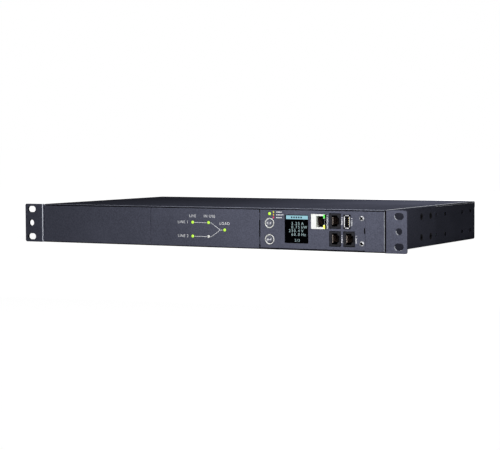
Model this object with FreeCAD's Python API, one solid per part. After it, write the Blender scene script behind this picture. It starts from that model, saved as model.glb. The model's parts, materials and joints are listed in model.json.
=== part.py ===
import FreeCAD, Part
import math
import os

# Rack power distribution unit: one rack unit high, two inputs and switched transfer between them.
# Millimetres. X runs along the front, Y runs back from the front face of the rack ears, Z is up.
# The finished pieces are moved so that the origin lies under the middle of the whole unit.

# Case
RACK_SPAN = 482.6
EAR_WIDTH = 25.4
CASE_HEIGHT = 44.0
CASE_DEPTH = 256.0
TRAY_SHEET = 1.2
TRAY_FLANGE = 8.0
COVER_SHEET = 1.0
COVER_SIDE_RIM = 2.0
COVER_REAR_RIM = 7.0
PANEL_FOOT = 14.0
SHEET_BEND = 0.8

# Rack ears and the screws that hold them
EAR_SHEET = 2.0
EAR_BEND = 1.0
EAR_CORNER = 2.0
EAR_FLANGE_DEPTH = 132.5
EAR_FLANGE_INSET = 0.8
RACK_HOLE_EDGE = 8.75
RACK_HOLE_PITCH = 31.75
RACK_SLOT_LENGTH = 10.2
RACK_HOLE_WIDTH = 7.0
SIDE_SCREW_PITCH = 25.4
SIDE_SCREW_ROWS = 22.2
SIDE_SCREW_SETBACK = 14.1
SPARE_HOLE_SETBACK = 6.5
REAR_HOLE_SETBACK = 15.0
EAR_SCREW_HEAD = 7.4
EAR_SCREW_SHANK = 4.0
EAR_SCREW_REACH = 4.5

# Front plates
FACE_SETBACK = 1.6
FACE_SHEET = 1.5
FACE_EDGE = 0.35
FACE_TOP_GAP = 0.8
FACE_SIDE_GAP = 0.7
FACE_BOTTOM = 0.2
FACE_TAB_DEPTH = 8.0
FACE_TAB_INSET = 14.0
RIGHT_FASCIA_WIDTH = 20.8
RIGHT_SEAM = 0.4
CONTROL_WIDTH = 123.1
CONTROL_BOTTOM = 1.6
CONTROL_SEAM = 1.4
STATUS_WIDTH = 137.5
STATUS_SEAM = 0.5
BRACKET_SHEET = 2.0
BRACKET_OVERLAP = 9.0
BRACKET_FOOT = 20.0
HOOK_WIDTH = 8.0
HOOK_HEIGHT = 8.0
HOOK_OVERLAP = 4.0
HOOK_PITCH = 26.0
PRY_NOTCH_WIDTH = 1.0
PRY_NOTCH_HEIGHT = 5.8

# Status lamps on the status plate, placed from its left edge and the middle of the case's height
LENS_DIAMETER = 3.2
LENS_PROUD = 0.3
LENS_COLLAR = 1.0
LENS_FIRST_X = 54.6
LENS_PITCH = 20.25
LENS_ROW_PITCH = 15.2
LENS_ROW_DROP = 2.6
STATUS_BOARD_GAP = 5.0
STATUS_BOARD_MARGIN = 22.0

# Control module, placed from its plate's left edge and the middle of the case's height
DISPLAY_X = 30.7
DISPLAY_WIDTH = 26.8
DISPLAY_HEIGHT = 29.4
DISPLAY_RISE = 0.4
DISPLAY_SETBACK = 0.2
DISPLAY_CORNER = 0.6
DISPLAY_LAP = 1.4
DISPLAY_PANEL = 1.6
DISPLAY_FRAME_WALL = 1.5
KEY_X = 11.4
KEY_UPPER_RISE = 6.1
KEY_PITCH = 17.3
KEY_DIAMETER = 7.9
KEY_PROUD = 0.8
KEY_TRAVEL = 0.5
KEY_CROWN = 0.25
KEY_COLLAR_DIAMETER = 10.0
KEY_COLLAR = 1.0
KEY_STEM = 4.0
KEY_GAP = 0.25
KEY_END_GAP = 0.3
BEZEL_DIAMETER = 11.2
BEZEL_FLANGE = 13.0
BEZEL_FLANGE_SHEET = 1.0
BEZEL_PROUD = 0.2
BEZEL_DEPTH = 4.6
SWITCH_SIDE = 6.0
SWITCH_BODY = 3.6
SWITCH_PLUNGER = 1.2
DEVICE_LENS_X = 11.6
DEVICE_LENS_RISE = 16.1
JACK_DEPTH = 13.4
JACK_PROUD = 0.15
JACK_WIDTH = 12.7
JACK_HEIGHT = 15.5
JACK_SIDE = 2.6
JACK_MOUTH_WIDTH = 6.6
JACK_MOUTH_HEIGHT = 11.7
JACK_LATCH_DEPTH = 2.2
JACK_LATCH_ROOT = 8.0
JACK_LATCH_TIP = 6.0
JACK_MOUTH_DEPTH = 11.5
ETHERNET_WIDTH = 16.8
ETHERNET_SIDE = 6.0
ETHERNET_LATCH_DEPTH = 1.8
ETHERNET_LATCH_ROOT = 6.4
ETHERNET_LIGHT_WIDTH = 1.9
ETHERNET_LIGHT_HEIGHT = 3.6
ETHERNET_LIGHT_EDGE = 0.5
ETHERNET_LIGHT_DEPTH = 3.0
CONTACT_COUNT = 8
CONTACT_PITCH = 1.02
CONTACT_WIRE = 0.45
CONTACT_START = 3.0
CONTACT_RISE = 1.5
ETHERNET_X = 61.0
ETHERNET_RISE = 8.75
SERIAL_X = 82.5
SERIAL_RISE = 9.8
LINK_RISE = -8.8
SENSOR_X = 98.7
USB_X = 98.8
USB_RISE = 9.1
USB_WIDTH = 7.7
USB_HEIGHT = 14.6
USB_WALL = 0.5
USB_CORNER = 0.9
USB_MOUTH_DEPTH = 9.0
USB_TONGUE_SIDE = 2.4
USB_TONGUE = 1.8
USB_TONGUE_HEIGHT = 11.2
USB_TONGUE_SETBACK = 1.2
USB_CONTACTS = 4
USB_CONTACT_PITCH = 2.4
USB_CONTACT_WIDTH = 1.3
USB_CONTACT = 0.3
CONTROL_SCREW_EDGE = 3.4
CONTROL_SCREW_SPAN = 26.0
CONTROL_BOARD_MARGIN = 2.5

# Pan-head screws of the control module and the cover, hexagon-head screws of the circuit boards
PAN_HEAD = 5.6
PAN_HEAD_HEIGHT = 1.4
PAN_CROWN = 0.7
PAN_SHANK = 3.0
PAN_REACH = 5.0
HEX_HEAD = 5.5
HEX_HEAD_HEIGHT = 2.0
COVER_SCREW_DROP = 3.7
COVER_SCREW_PITCH = 178.0

# Circuit boards and the parts on them
BOARD = 1.6
POST_WIDTH = 5.0
MAIN_STANDOFF = 6.0
MAIN_BOARD_FRONT = 22.0
MAIN_BOARD_SIDE_GAP = 18.0
MAIN_POST_EDGE = 10.0
PLUG_WIDTH = 36.0
PLUG_HEIGHT = 6.0
PLUG_TONGUE = 5.0
PLUG_TONGUE_HEIGHT = 2.4
SOCKET_WALL = 2.0
SOCKET_DEPTH = 9.0
SOCKET_X = 28.5
HEADER_PINS = 6
HEADER_PITCH = 2.54
HEADER_PIN = 0.64
HEADER_DEPTH = 6.0
HEADER_HEIGHT = 3.0
RELAY_WIDTH = 16.0
RELAY_LENGTH = 29.0
RELAY_HEIGHT = 25.5
RELAY_PITCH = 22.0
RELAY_COUNT = 4
RELAY_SETBACK = 22.0
SENSOR_RING = 24.0
SENSOR_HOLE = 11.0
SENSOR_THICKNESS = 12.0
SENSOR_BASE = 2.0
SUPPLY_WIDTH = 48.0
SUPPLY_LENGTH = 28.0
SUPPLY_HEIGHT = 20.0
SURGE_DIAMETER = 14.0
SURGE_THICKNESS = 4.0
SURGE_PITCH = 9.0
PART_SPACING = 12.0

# Rear sockets, inlets and earth stud
SOCKET_DROP = 1.0
OUTLET_PITCH = 30.5
OUTLET_BANK_END = 1.6
OUTLET_BANK_GAP = 4.0
OUTLET_BANKS = 2
OUTLET_FLANGE = 1.8
OUTLET_FLANGE_LAP = 1.6
OUTLET_DEPTH = 22.0
OUTLET_HEIGHT = 23.4
GROOVE_WIDTH = 28.0
GROOVE_HEIGHT = 20.6
GROOVE_DEPTH = 15.0
GROOVE_CORNER = 5.2
BOSS_WIDTH = 22.8
BOSS_HEIGHT = 15.4
BOSS_CORNER = 4.2
BLADE_SLOT_WIDTH = 2.6
BLADE_SLOT_HEIGHT = 5.0
BLADE_SPREAD = 7.0
BLADE_RISE = 2.0
INLET_FROM_SIDE = 30.0
INLET_PITCH = 53.0
INLET_COUNT = 2
INLET_FLANGE = 2.4
INLET_FLANGE_WIDTH = 50.0
INLET_FLANGE_HEIGHT = 26.6
INLET_FLANGE_CORNER = 5.0
INLET_WALL = 1.6
INLET_MOUTH_WIDTH = 28.6
INLET_MOUTH_HEIGHT = 20.0
INLET_MOUTH_CORNER = 3.0
INLET_MOUTH_DEPTH = 19.0
INLET_BACK = 4.0
INLET_SCREW_SPAN = 40.0
INLET_BLADE_WIDTH = 8.0
INLET_BLADE = 2.0
INLET_BLADE_SPREAD = 6.5
INLET_BLADE_RISE = 4.0
INLET_BLADE_SETBACK = 4.0
INLET_LEG_STEP = 4.0
STUD_FROM_SIDE = 17.0
STUD_DROP = 8.0
STUD_DIAMETER = 5.0
STUD_ROOT = 4.2
STUD_RELIEF = 0.5
STUD_REACH = 9.0
STUD_HEAD = 10.0
STUD_HEAD_HEIGHT = 2.0
NUT_WIDTH = 8.0
NUT_HEIGHT = 4.0
BUS_SHEET = 1.0
BUS_WIDTH = 5.0
BUS_STANDOFF = 2.0
BUS_LAYER = 4.0
BUS_LIFT = 1.2
BUS_SPREAD = 8.5
BUS_TONGUE = 12.0
BUS_TONGUE_WIDTH = 3.2
BUS_OVERHANG = 6.0

# Clearances
FIT = 0.2
SCREW_FIT = 0.1

# Places worked out from the sizes above
V = FreeCAD.Vector
BACKWARD = V(0, 1, 0)
UPWARD = V(0, 0, 1)
CASE_WIDTH = RACK_SPAN - 2 * EAR_WIDTH
HALF_WIDTH = CASE_WIDTH / 2
MIDDLE = CASE_HEIGHT / 2
COVER_UNDERSIDE = CASE_HEIGHT - COVER_SHEET
TRAY_TOP = CASE_HEIGHT - COVER_SIDE_RIM
FACE_BACK = FACE_SETBACK + FACE_SHEET
FACE_TOP = COVER_UNDERSIDE - FACE_TOP_GAP
FACE_END = HALF_WIDTH - FACE_SIDE_GAP
TRAY_FRONT = FACE_BACK + FIT
PANEL_FACE = CASE_DEPTH - COVER_SHEET
PANEL_INNER = PANEL_FACE - TRAY_SHEET
OVERALL_DEPTH = PANEL_FACE + STUD_REACH
RIGHT_LEFT = FACE_END - RIGHT_FASCIA_WIDTH
CONTROL_RIGHT = RIGHT_LEFT - RIGHT_SEAM
CONTROL_LEFT = CONTROL_RIGHT - CONTROL_WIDTH
STATUS_RIGHT = CONTROL_LEFT - CONTROL_SEAM
STATUS_LEFT = STATUS_RIGHT - STATUS_WIDTH
CONTROL_BOARD_FRONT = FACE_SETBACK + JACK_DEPTH
CONTROL_BOARD_BACK = CONTROL_BOARD_FRONT + BOARD
STATUS_BOARD_FRONT = FACE_BACK + STATUS_BOARD_GAP
MAIN_BOARD_TOP = TRAY_SHEET + MAIN_STANDOFF + BOARD
SOCKET_Z = MIDDLE - SOCKET_DROP
OUTLET_BACK = PANEL_FACE - OUTLET_DEPTH
MAIN_BOARD_REAR = OUTLET_BACK - FIT
MAIN_BOARD_HALF = HALF_WIDTH - MAIN_BOARD_SIDE_GAP
KEY_HEIGHTS = (MIDDLE + KEY_UPPER_RISE, MIDDLE + KEY_UPPER_RISE - KEY_PITCH)
INLET_PLACES = [INLET_FROM_SIDE - HALF_WIDTH + INLET_PITCH * i for i in range(INLET_COUNT)]
STUD_X = HALF_WIDTH - STUD_FROM_SIDE
SCREW_HOLE = PAN_SHANK + 2 * SCREW_FIT
SCREW_BITE = PAN_REACH - BOARD + SCREW_FIT
LENS_HOLE = LENS_DIAMETER + 2 * SCREW_FIT
BANK_ROOM = STUD_X - STUD_HEAD - INLET_PLACES[-1] - INLET_FLANGE_WIDTH / 2
OUTLETS_PER_BANK = int((BANK_ROOM / OUTLET_BANKS - OUTLET_BANK_GAP - 2 * OUTLET_BANK_END) / OUTLET_PITCH)
BANK_WIDTH = OUTLETS_PER_BANK * OUTLET_PITCH + 2 * OUTLET_BANK_END
BANK_STEP = BANK_WIDTH + 2 * OUTLET_FLANGE_LAP + OUTLET_BANK_GAP
BANK_PLACES = [STUD_X - STUD_HEAD - BANK_STEP * (OUTLET_BANKS - i - 0.5) for i in range(OUTLET_BANKS)]


# Shapes that several pieces are made from

def box(x, y, z):
    """Block between the two ends given for each direction."""
    corner = V(x[0], y[0], z[0])
    return Part.makeBox(x[1] - x[0], y[1] - y[0], z[1] - z[0], corner)


def hexagon(x, y, across):
    """Corners of a hexagon, given the distance across its flats."""
    turns = [math.radians(60 * i) for i in range(6)]
    radius = across / math.sqrt(3)
    return [(x + radius * math.cos(t), y + radius * math.sin(t), 0.0) for t in turns]


def rod(x, z, diameter, y):
    """Round bar along Y between the two ends given."""
    return Part.makeCylinder(diameter / 2, y[1] - y[0], V(x, y[0], z), BACKWARD)


def turned(profile, base, axis):
    """Solid of revolution: profile holds (radius, distance along the axis) pairs from axis to axis."""
    points = [V(radius, 0, along) for radius, along in profile]
    face = Part.Face(Part.makePolygon(points + points[:1]))
    solid = face.revolve(V(0, 0, 0), UPWARD, 360)
    solid.Placement = FreeCAD.Placement(base, FreeCAD.Rotation(UPWARD, axis))
    return solid


def outline(corners, place):
    """Closed face through corners (a, b, radius), each rounded by a tangent arc."""
    points = [place(a, b) for a, b, radius in corners]
    count = len(points)
    arcs = []
    entries = []
    leaves = []
    for i in range(count):
        radius = corners[i][2]
        back = (points[i - 1] - points[i]).normalize()
        ahead = (points[(i + 1) % count] - points[i]).normalize()
        half = back.getAngle(ahead) / 2
        reach = radius / math.tan(half)
        entries.append(points[i] + back * reach)
        leaves.append(points[i] + ahead * reach)
        inward = (back + ahead).normalize()
        nearest = points[i] + inward * (radius / math.sin(half) - radius)
        arcs.append(Part.Arc(entries[i], nearest, leaves[i]).toShape() if radius else None)
    edges = []
    for i in range(count):
        following = entries[(i + 1) % count]
        if arcs[i]:
            edges.append(arcs[i])
        if leaves[i].distanceToPoint(following) > 1e-6:
            edges.append(Part.LineSegment(leaves[i], following).toShape())
    return Part.Face(Part.Wire(edges))


def front_prism(corners, y):
    """Outline in X and Z, carried along Y between the two ends given."""
    face = outline(corners, lambda a, b: V(a, y[0], b))
    return face.extrude(BACKWARD * (y[1] - y[0]))


def rectangle(x, z, radius=0.0):
    """Corners of an upright rectangle with one corner radius."""
    return [(x[0], z[0], radius), (x[1], z[0], radius), (x[1], z[1], radius), (x[0], z[1], radius)]


def folded_sheet(path, gauge, bend):
    """Corners of a bent sheet's section: the sheet lies to the left of the path that is followed."""
    ways = []
    for start, end in zip(path, path[1:]):
        length = math.hypot(end[0] - start[0], end[1] - start[1])
        ways.append(((end[0] - start[0]) / length, (end[1] - start[1]) / length))
    ways = [ways[0]] + ways + [ways[-1]]
    near = []
    far = []
    for i, point in enumerate(path):
        before, after = ways[i], ways[i + 1]
        turn = before[0] * after[1] - before[1] * after[0]
        share = gauge / (1 + before[0] * after[0] + before[1] * after[1])
        shift = (-(before[1] + after[1]) * share, (before[0] + after[0]) * share)
        outer, inner = (bend + gauge, bend) if turn > 0 else (bend, bend + gauge)
        end_of_sheet = i in (0, len(path) - 1)
        near.append((point[0], point[1], 0.0 if end_of_sheet else outer))
        far.append((point[0] + shift[0], point[1] + shift[1], 0.0 if end_of_sheet else inner))
    return near + far[::-1]


def pan_screw(seat, axis):
    """Pan-head screw whose head rests on seat and whose shank runs along axis."""
    head = PAN_HEAD / 2
    shank = PAN_SHANK / 2
    rim = PAN_HEAD_HEIGHT / 2
    tip = PAN_HEAD_HEIGHT + PAN_REACH
    profile = [(0, 0), (head * PAN_CROWN, 0), (head, rim), (head, PAN_HEAD_HEIGHT)]
    profile += [(shank, PAN_HEAD_HEIGHT), (shank, tip), (0, tip)]
    top = seat - axis * PAN_HEAD_HEIGHT
    return turned(profile, top, axis)


def hex_screw(seat, axis):
    """Hexagon-head screw whose head rests on seat and whose shank runs along axis."""
    face = outline(hexagon(0, 0, HEX_HEAD), lambda a, b: V(a, b, -HEX_HEAD_HEIGHT))
    head = face.extrude(UPWARD * HEX_HEAD_HEIGHT)
    screw = head.fuse(Part.makeCylinder(PAN_SHANK / 2, PAN_REACH)).removeSplitter()
    screw.Placement = FreeCAD.Placement(seat, FreeCAD.Rotation(UPWARD, axis))
    return screw


def flat_screw(face, axis, spare=0.0):
    """Countersunk screw flush with face; spare widens it into the hole that takes it."""
    head = EAR_SCREW_HEAD / 2 + spare
    shank = EAR_SCREW_SHANK / 2 + spare
    cone = head - shank
    reach = EAR_SCREW_REACH + spare
    return turned([(0, 0), (head, 0), (shank, cone), (shank, reach), (0, reach)], face, axis)


# Case

def side_hole_places():
    """Depth and height of each hole in the tray's sides: ear screws first, then the spare pairs."""
    firsts = [EAR_FLANGE_DEPTH - SIDE_SCREW_SETBACK - SIDE_SCREW_PITCH]
    firsts.append(EAR_FLANGE_DEPTH + SPARE_HOLE_SETBACK)
    firsts.append(CASE_DEPTH - REAR_HOLE_SETBACK - SIDE_SCREW_PITCH)
    columns = [first + step for first in firsts for step in (0, SIDE_SCREW_PITCH)]
    rows = (MIDDLE - SIDE_SCREW_ROWS / 2, MIDDLE + SIDE_SCREW_ROWS / 2)
    return [(column, row) for column in columns for row in rows]


def ear_screw_places():
    return side_hole_places()[:4]


def chassis_tray():
    path = [(TRAY_FLANGE - HALF_WIDTH, TRAY_TOP), (-HALF_WIDTH, TRAY_TOP), (-HALF_WIDTH, 0)]
    path += [(HALF_WIDTH, 0), (HALF_WIDTH, TRAY_TOP), (HALF_WIDTH - TRAY_FLANGE, TRAY_TOP)]
    tray = front_prism(folded_sheet(path, TRAY_SHEET, SHEET_BEND), (TRAY_FRONT, PANEL_FACE))
    radius = EAR_SCREW_SHANK / 2 + SCREW_FIT
    holes = []
    for depth, height in side_hole_places():
        holes.append(Part.makeCylinder(radius, CASE_WIDTH, V(-HALF_WIDTH, depth, height), V(1, 0, 0)))
    return tray.cut(holes)


def rear_panel():
    path = [(PANEL_FACE - PANEL_FOOT, TRAY_SHEET), (PANEL_FACE, TRAY_SHEET)]
    path.append((PANEL_FACE, COVER_UNDERSIDE - FIT))
    half = HALF_WIDTH - TRAY_SHEET - SHEET_BEND
    face = outline(folded_sheet(path, TRAY_SHEET, SHEET_BEND), lambda a, b: V(-half, a, b))
    panel = face.extrude(V(2 * half, 0, 0))
    cuts = []
    through = (PANEL_INNER - FIT, PANEL_FACE + FIT)
    for side in (-1, 1):
        ends = sorted((side * (HALF_WIDTH - TRAY_FLANGE - FIT), side * HALF_WIDTH))
        cuts.append(box(ends, through, (TRAY_TOP - TRAY_SHEET - FIT, CASE_HEIGHT)))
    height = (SOCKET_Z - OUTLET_HEIGHT / 2 - FIT, SOCKET_Z + OUTLET_HEIGHT / 2 + FIT)
    for x in BANK_PLACES:
        cuts.append(box((x - BANK_WIDTH / 2 - FIT, x + BANK_WIDTH / 2 + FIT), through, height))
    half_body = INLET_MOUTH_WIDTH / 2 + INLET_WALL + FIT
    half_height = INLET_MOUTH_HEIGHT / 2 + INLET_WALL + FIT
    for x in INLET_PLACES:
        height = (SOCKET_Z - half_height, SOCKET_Z + half_height)
        cuts.append(box((x - half_body, x + half_body), through, height))
    for x, z in inlet_screw_places():
        cuts.append(rod(x, z, EAR_SCREW_SHANK + 2 * SCREW_FIT, through))
    for x, z in cover_screw_places():
        cuts.append(rod(x, z, SCREW_HOLE, through))
    cuts.append(rod(STUD_X, stud_height(), STUD_DIAMETER + 2 * SCREW_FIT, through))
    return panel.cut(cuts)


def top_cover():
    """Flat lid with short folded rims at the sides and a deeper one at the rear."""
    rim_floor = CASE_HEIGHT - COVER_REAR_RIM
    lid = box((-HALF_WIDTH, HALF_WIDTH), (TRAY_FRONT, CASE_DEPTH), (rim_floor, CASE_HEIGHT))
    crest = [e for e in lid.Edges if e.BoundBox.ZMin > COVER_UNDERSIDE and e.BoundBox.YMin > PANEL_FACE]
    lid = lid.makeFillet(SHEET_BEND + COVER_SHEET, crest)
    inside = (COVER_SHEET - HALF_WIDTH, HALF_WIDTH - COVER_SHEET)
    hollow = box(inside, (0, PANEL_FACE), (rim_floor - FIT, COVER_UNDERSIDE))
    below_side_rims = box((-CASE_WIDTH, CASE_WIDTH), (0, PANEL_FACE), (rim_floor - FIT, TRAY_TOP))
    through = (PANEL_INNER, CASE_DEPTH + FIT)
    holes = [rod(x, z, SCREW_HOLE, through) for x, z in cover_screw_places()]
    return lid.cut([hollow, below_side_rims] + holes)


def cover_screw_places():
    return [(COVER_SCREW_PITCH * step, CASE_HEIGHT - COVER_SCREW_DROP) for step in (-1, 0, 1)]


def cover_screws():
    seats = [V(x, CASE_DEPTH, z) for x, z in cover_screw_places()]
    return Part.makeCompound([pan_screw(seat, -BACKWARD) for seat in seats])


def right_rack_ear():
    """Bent bracket: a long flange along the case's side and a slotted flange facing the front."""
    path = [(HALF_WIDTH, EAR_FLANGE_DEPTH), (HALF_WIDTH, 0), (RACK_SPAN / 2, 0)]
    face = outline(folded_sheet(path, EAR_SHEET, EAR_BEND), lambda a, b: V(a, b, 0))
    ear = face.extrude(UPWARD * CASE_HEIGHT)
    tips = [e for e in ear.Edges if e.BoundBox.XMin > RACK_SPAN / 2 - FIT and e.BoundBox.YLength > FIT]
    ear = ear.makeFillet(EAR_CORNER, tips)
    flange = (HALF_WIDTH - FIT, HALF_WIDTH + EAR_SHEET + FIT)
    behind = (EAR_SHEET + EAR_BEND, EAR_FLANGE_DEPTH + FIT)
    cuts = [box(flange, behind, (-FIT, EAR_FLANGE_INSET))]
    cuts.append(box(flange, behind, (CASE_HEIGHT - EAR_FLANGE_INSET, CASE_HEIGHT + FIT)))
    through = (-FIT, EAR_SHEET + FIT)
    x = RACK_SPAN / 2 - RACK_HOLE_EDGE
    half_length = RACK_SLOT_LENGTH / 2
    half_width = RACK_HOLE_WIDTH / 2
    for z in (MIDDLE - RACK_HOLE_PITCH / 2, MIDDLE + RACK_HOLE_PITCH / 2):
        flat = half_length - half_width
        cuts.append(box((x - flat, x + flat), through, (z - half_width, z + half_width)))
        cuts.append(rod(x - flat, z, RACK_HOLE_WIDTH, through))
        cuts.append(rod(x + flat, z, RACK_HOLE_WIDTH, through))
    cuts.append(rod(x, MIDDLE, RACK_HOLE_WIDTH, through))
    for depth, height in ear_screw_places():
        cuts.append(flat_screw(V(HALF_WIDTH + EAR_SHEET, depth, height), V(-1, 0, 0), SCREW_FIT))
    return ear.cut(cuts)


def left_rack_ear():
    return right_rack_ear().mirror(V(0, 0, 0), V(1, 0, 0))


def ear_screws():
    screws = []
    for depth, height in ear_screw_places():
        for side in (-1, 1):
            face = V(side * (HALF_WIDTH + EAR_SHEET), depth, height)
            screws.append(flat_screw(face, V(-side, 0, 0)))
    return Part.makeCompound(screws)


# Front plates

def front_plate(x, bottom, floor):
    """Plate with eased front edges and two tabs that reach back under the cover and over the floor."""
    plate = box(x, (FACE_SETBACK, FACE_BACK), (bottom, FACE_TOP))
    rim = [e for e in plate.Edges if e.BoundBox.YMax < FACE_SETBACK + FIT]
    plate = plate.makeChamfer(FACE_EDGE, rim)
    tab = (x[0] + FACE_TAB_INSET, x[1] - FACE_TAB_INSET)
    depth = (FACE_BACK, FACE_BACK + FACE_TAB_DEPTH)
    lower = box(tab, depth, (floor, floor + FACE_SHEET))
    upper = box(tab, depth, (FACE_TOP - FACE_SHEET, FACE_TOP))
    return plate.fuse([lower, upper]).removeSplitter()


def blank_fascia():
    return front_plate((-FACE_END, STATUS_LEFT - STATUS_SEAM), FACE_BOTTOM, TRAY_SHEET)


def lens_places():
    """Two rows of input lamps, then the single output lamp between the rows."""
    first = STATUS_LEFT + LENS_FIRST_X
    middle_row = MIDDLE - LENS_ROW_DROP
    rows = (middle_row + LENS_ROW_PITCH / 2, middle_row - LENS_ROW_PITCH / 2)
    places = [(first + LENS_PITCH * step, row) for row in rows for step in (0, 1)]
    return places + [(first + 2 * LENS_PITCH, middle_row)]


def status_fascia():
    plate = front_plate((STATUS_LEFT, STATUS_RIGHT), FACE_BOTTOM, TRAY_SHEET)
    through = (0, FACE_BACK + FIT)
    return plate.cut([rod(x, z, LENS_HOLE, through) for x, z in lens_places()])


def right_fascia():
    plate = box((RIGHT_LEFT, FACE_END), (FACE_SETBACK, FACE_BACK), (FACE_BOTTOM, FACE_TOP))
    rim = [e for e in plate.Edges if e.BoundBox.YMax < FACE_SETBACK + FIT]
    return plate.makeChamfer(FACE_EDGE, rim)


def module_bracket():
    """Angle behind the seam: it carries the narrow plate and takes the control module's screws."""
    path = [(FACE_BACK, FACE_TOP - FACE_SHEET), (FACE_BACK, TRAY_SHEET)]
    path.append((FACE_BACK + BRACKET_FOOT, TRAY_SHEET))
    x = (CONTROL_RIGHT - BRACKET_OVERLAP, FACE_END - TRAY_FLANGE - FIT)
    section = folded_sheet(path, BRACKET_SHEET, SHEET_BEND)
    angle = outline(section, lambda a, b: V(x[0], a, b)).extrude(V(x[1] - x[0], 0, 0))
    through = (FACE_SETBACK, FACE_BACK + BRACKET_SHEET + FIT)
    return angle.cut([rod(hx, z, SCREW_HOLE, through) for hx, z in control_screw_places()])


# Status lamps

def light_pipe(x, z, board_face):
    """Lamp cover with a collar behind the plate, standing on the circuit board."""
    front = rod(x, z, LENS_DIAMETER, (FACE_SETBACK - LENS_PROUD, FACE_BACK + SCREW_FIT))
    collar = rod(x, z, LENS_DIAMETER + 2 * LENS_COLLAR, (FACE_BACK + SCREW_FIT, board_face))
    return front.fuse(collar).removeSplitter()


def status_lenses():
    return [light_pipe(x, z, STATUS_BOARD_FRONT) for x, z in lens_places()]


def lit_lenses():
    lenses = status_lenses()
    return Part.makeCompound(lenses[:3] + lenses[4:])


def unlit_lens():
    return status_lenses()[3]


def status_board_ends():
    places = [x for x, z in lens_places()]
    return (min(places) - STATUS_BOARD_MARGIN, max(places) + STATUS_BOARD_MARGIN)


def board_height():
    """Lower and upper edge of the two boards that stand behind the front plates."""
    return (CONTROL_BOTTOM + 2 * FACE_SHEET, FACE_TOP - 2 * FACE_SHEET)


def status_post_places():
    ends = status_board_ends()
    middle = sum(board_height()) / 2
    return [(ends[0] + POST_WIDTH, middle), (ends[1] - POST_WIDTH, middle)]


def status_board():
    depth = (STATUS_BOARD_FRONT, STATUS_BOARD_FRONT + BOARD)
    board = box(status_board_ends(), depth, board_height())
    return board.cut([rod(x, z, SCREW_HOLE, depth) for x, z in status_post_places()])


def status_link():
    """Pin header that carries the lamp signals from the main board's front edge."""
    middle = sum(status_board_ends()) / 2
    half = HEADER_PINS * HEADER_PITCH / 2
    depth = (MAIN_BOARD_FRONT, MAIN_BOARD_FRONT + HEADER_DEPTH)
    height = (MAIN_BOARD_TOP, MAIN_BOARD_TOP + HEADER_HEIGHT)
    block = box((middle - half, middle + half), depth, height)
    level = MAIN_BOARD_TOP + HEADER_HEIGHT / 2
    pin_height = (level - HEADER_PIN / 2, level + HEADER_PIN / 2)
    pin_depth = (STATUS_BOARD_FRONT + BOARD, MAIN_BOARD_FRONT)
    pins = []
    for i in range(HEADER_PINS):
        x = middle - half + HEADER_PITCH * (i + 0.5)
        pins.append(box((x - HEADER_PIN / 2, x + HEADER_PIN / 2), pin_depth, pin_height))
    return block.fuse(pins).removeSplitter()


# Control module

def jack_table():
    """Left edge, middle height, width and cavity side wall of each jack, by name."""
    left = CONTROL_LEFT
    return {
        "ethernet_jack": (left + ETHERNET_X, MIDDLE + ETHERNET_RISE, ETHERNET_WIDTH, ETHERNET_SIDE),
        "serial_jack": (left + SERIAL_X, MIDDLE + SERIAL_RISE, JACK_WIDTH, JACK_SIDE),
        "link_jack": (left + SERIAL_X, MIDDLE + LINK_RISE, JACK_WIDTH, JACK_SIDE),
        "sensor_jack": (left + SENSOR_X, MIDDLE + LINK_RISE, JACK_WIDTH, JACK_SIDE),
    }


def display_ends(margin=0.0):
    x = CONTROL_LEFT + DISPLAY_X
    z = MIDDLE + DISPLAY_RISE
    width = (x - margin, x + DISPLAY_WIDTH + margin)
    height = (z - DISPLAY_HEIGHT / 2 - margin, z + DISPLAY_HEIGHT / 2 + margin)
    return width, height


def usb_ends(inset=0.0):
    x = CONTROL_LEFT + USB_X
    z = MIDDLE + USB_RISE
    half = USB_HEIGHT / 2 - inset
    return (x + inset, x + USB_WIDTH - inset), (z - half, z + half)


def control_screw_places():
    x = CONTROL_RIGHT - CONTROL_SCREW_EDGE
    return [(x, MIDDLE + CONTROL_SCREW_SPAN / 2), (x, MIDDLE - CONTROL_SCREW_SPAN / 2)]


def control_post_places():
    """Posts stand beside the keys, between keys and display, and under the Ethernet jack."""
    beside_keys = CONTROL_LEFT + KEY_X + BEZEL_FLANGE / 2
    gap_middle = (beside_keys + CONTROL_LEFT + DISPLAY_X - DISPLAY_LAP) / 2
    under_jack = CONTROL_LEFT + ETHERNET_X + ETHERNET_WIDTH / 2
    low = MIDDLE + ETHERNET_RISE - JACK_HEIGHT / 2 - 2 * POST_WIDTH
    between_keys = sum(KEY_HEIGHTS) / 2
    return [(gap_middle, MIDDLE + DEVICE_LENS_RISE - POST_WIDTH), (gap_middle, between_keys - POST_WIDTH),
            (under_jack, low)]


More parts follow.
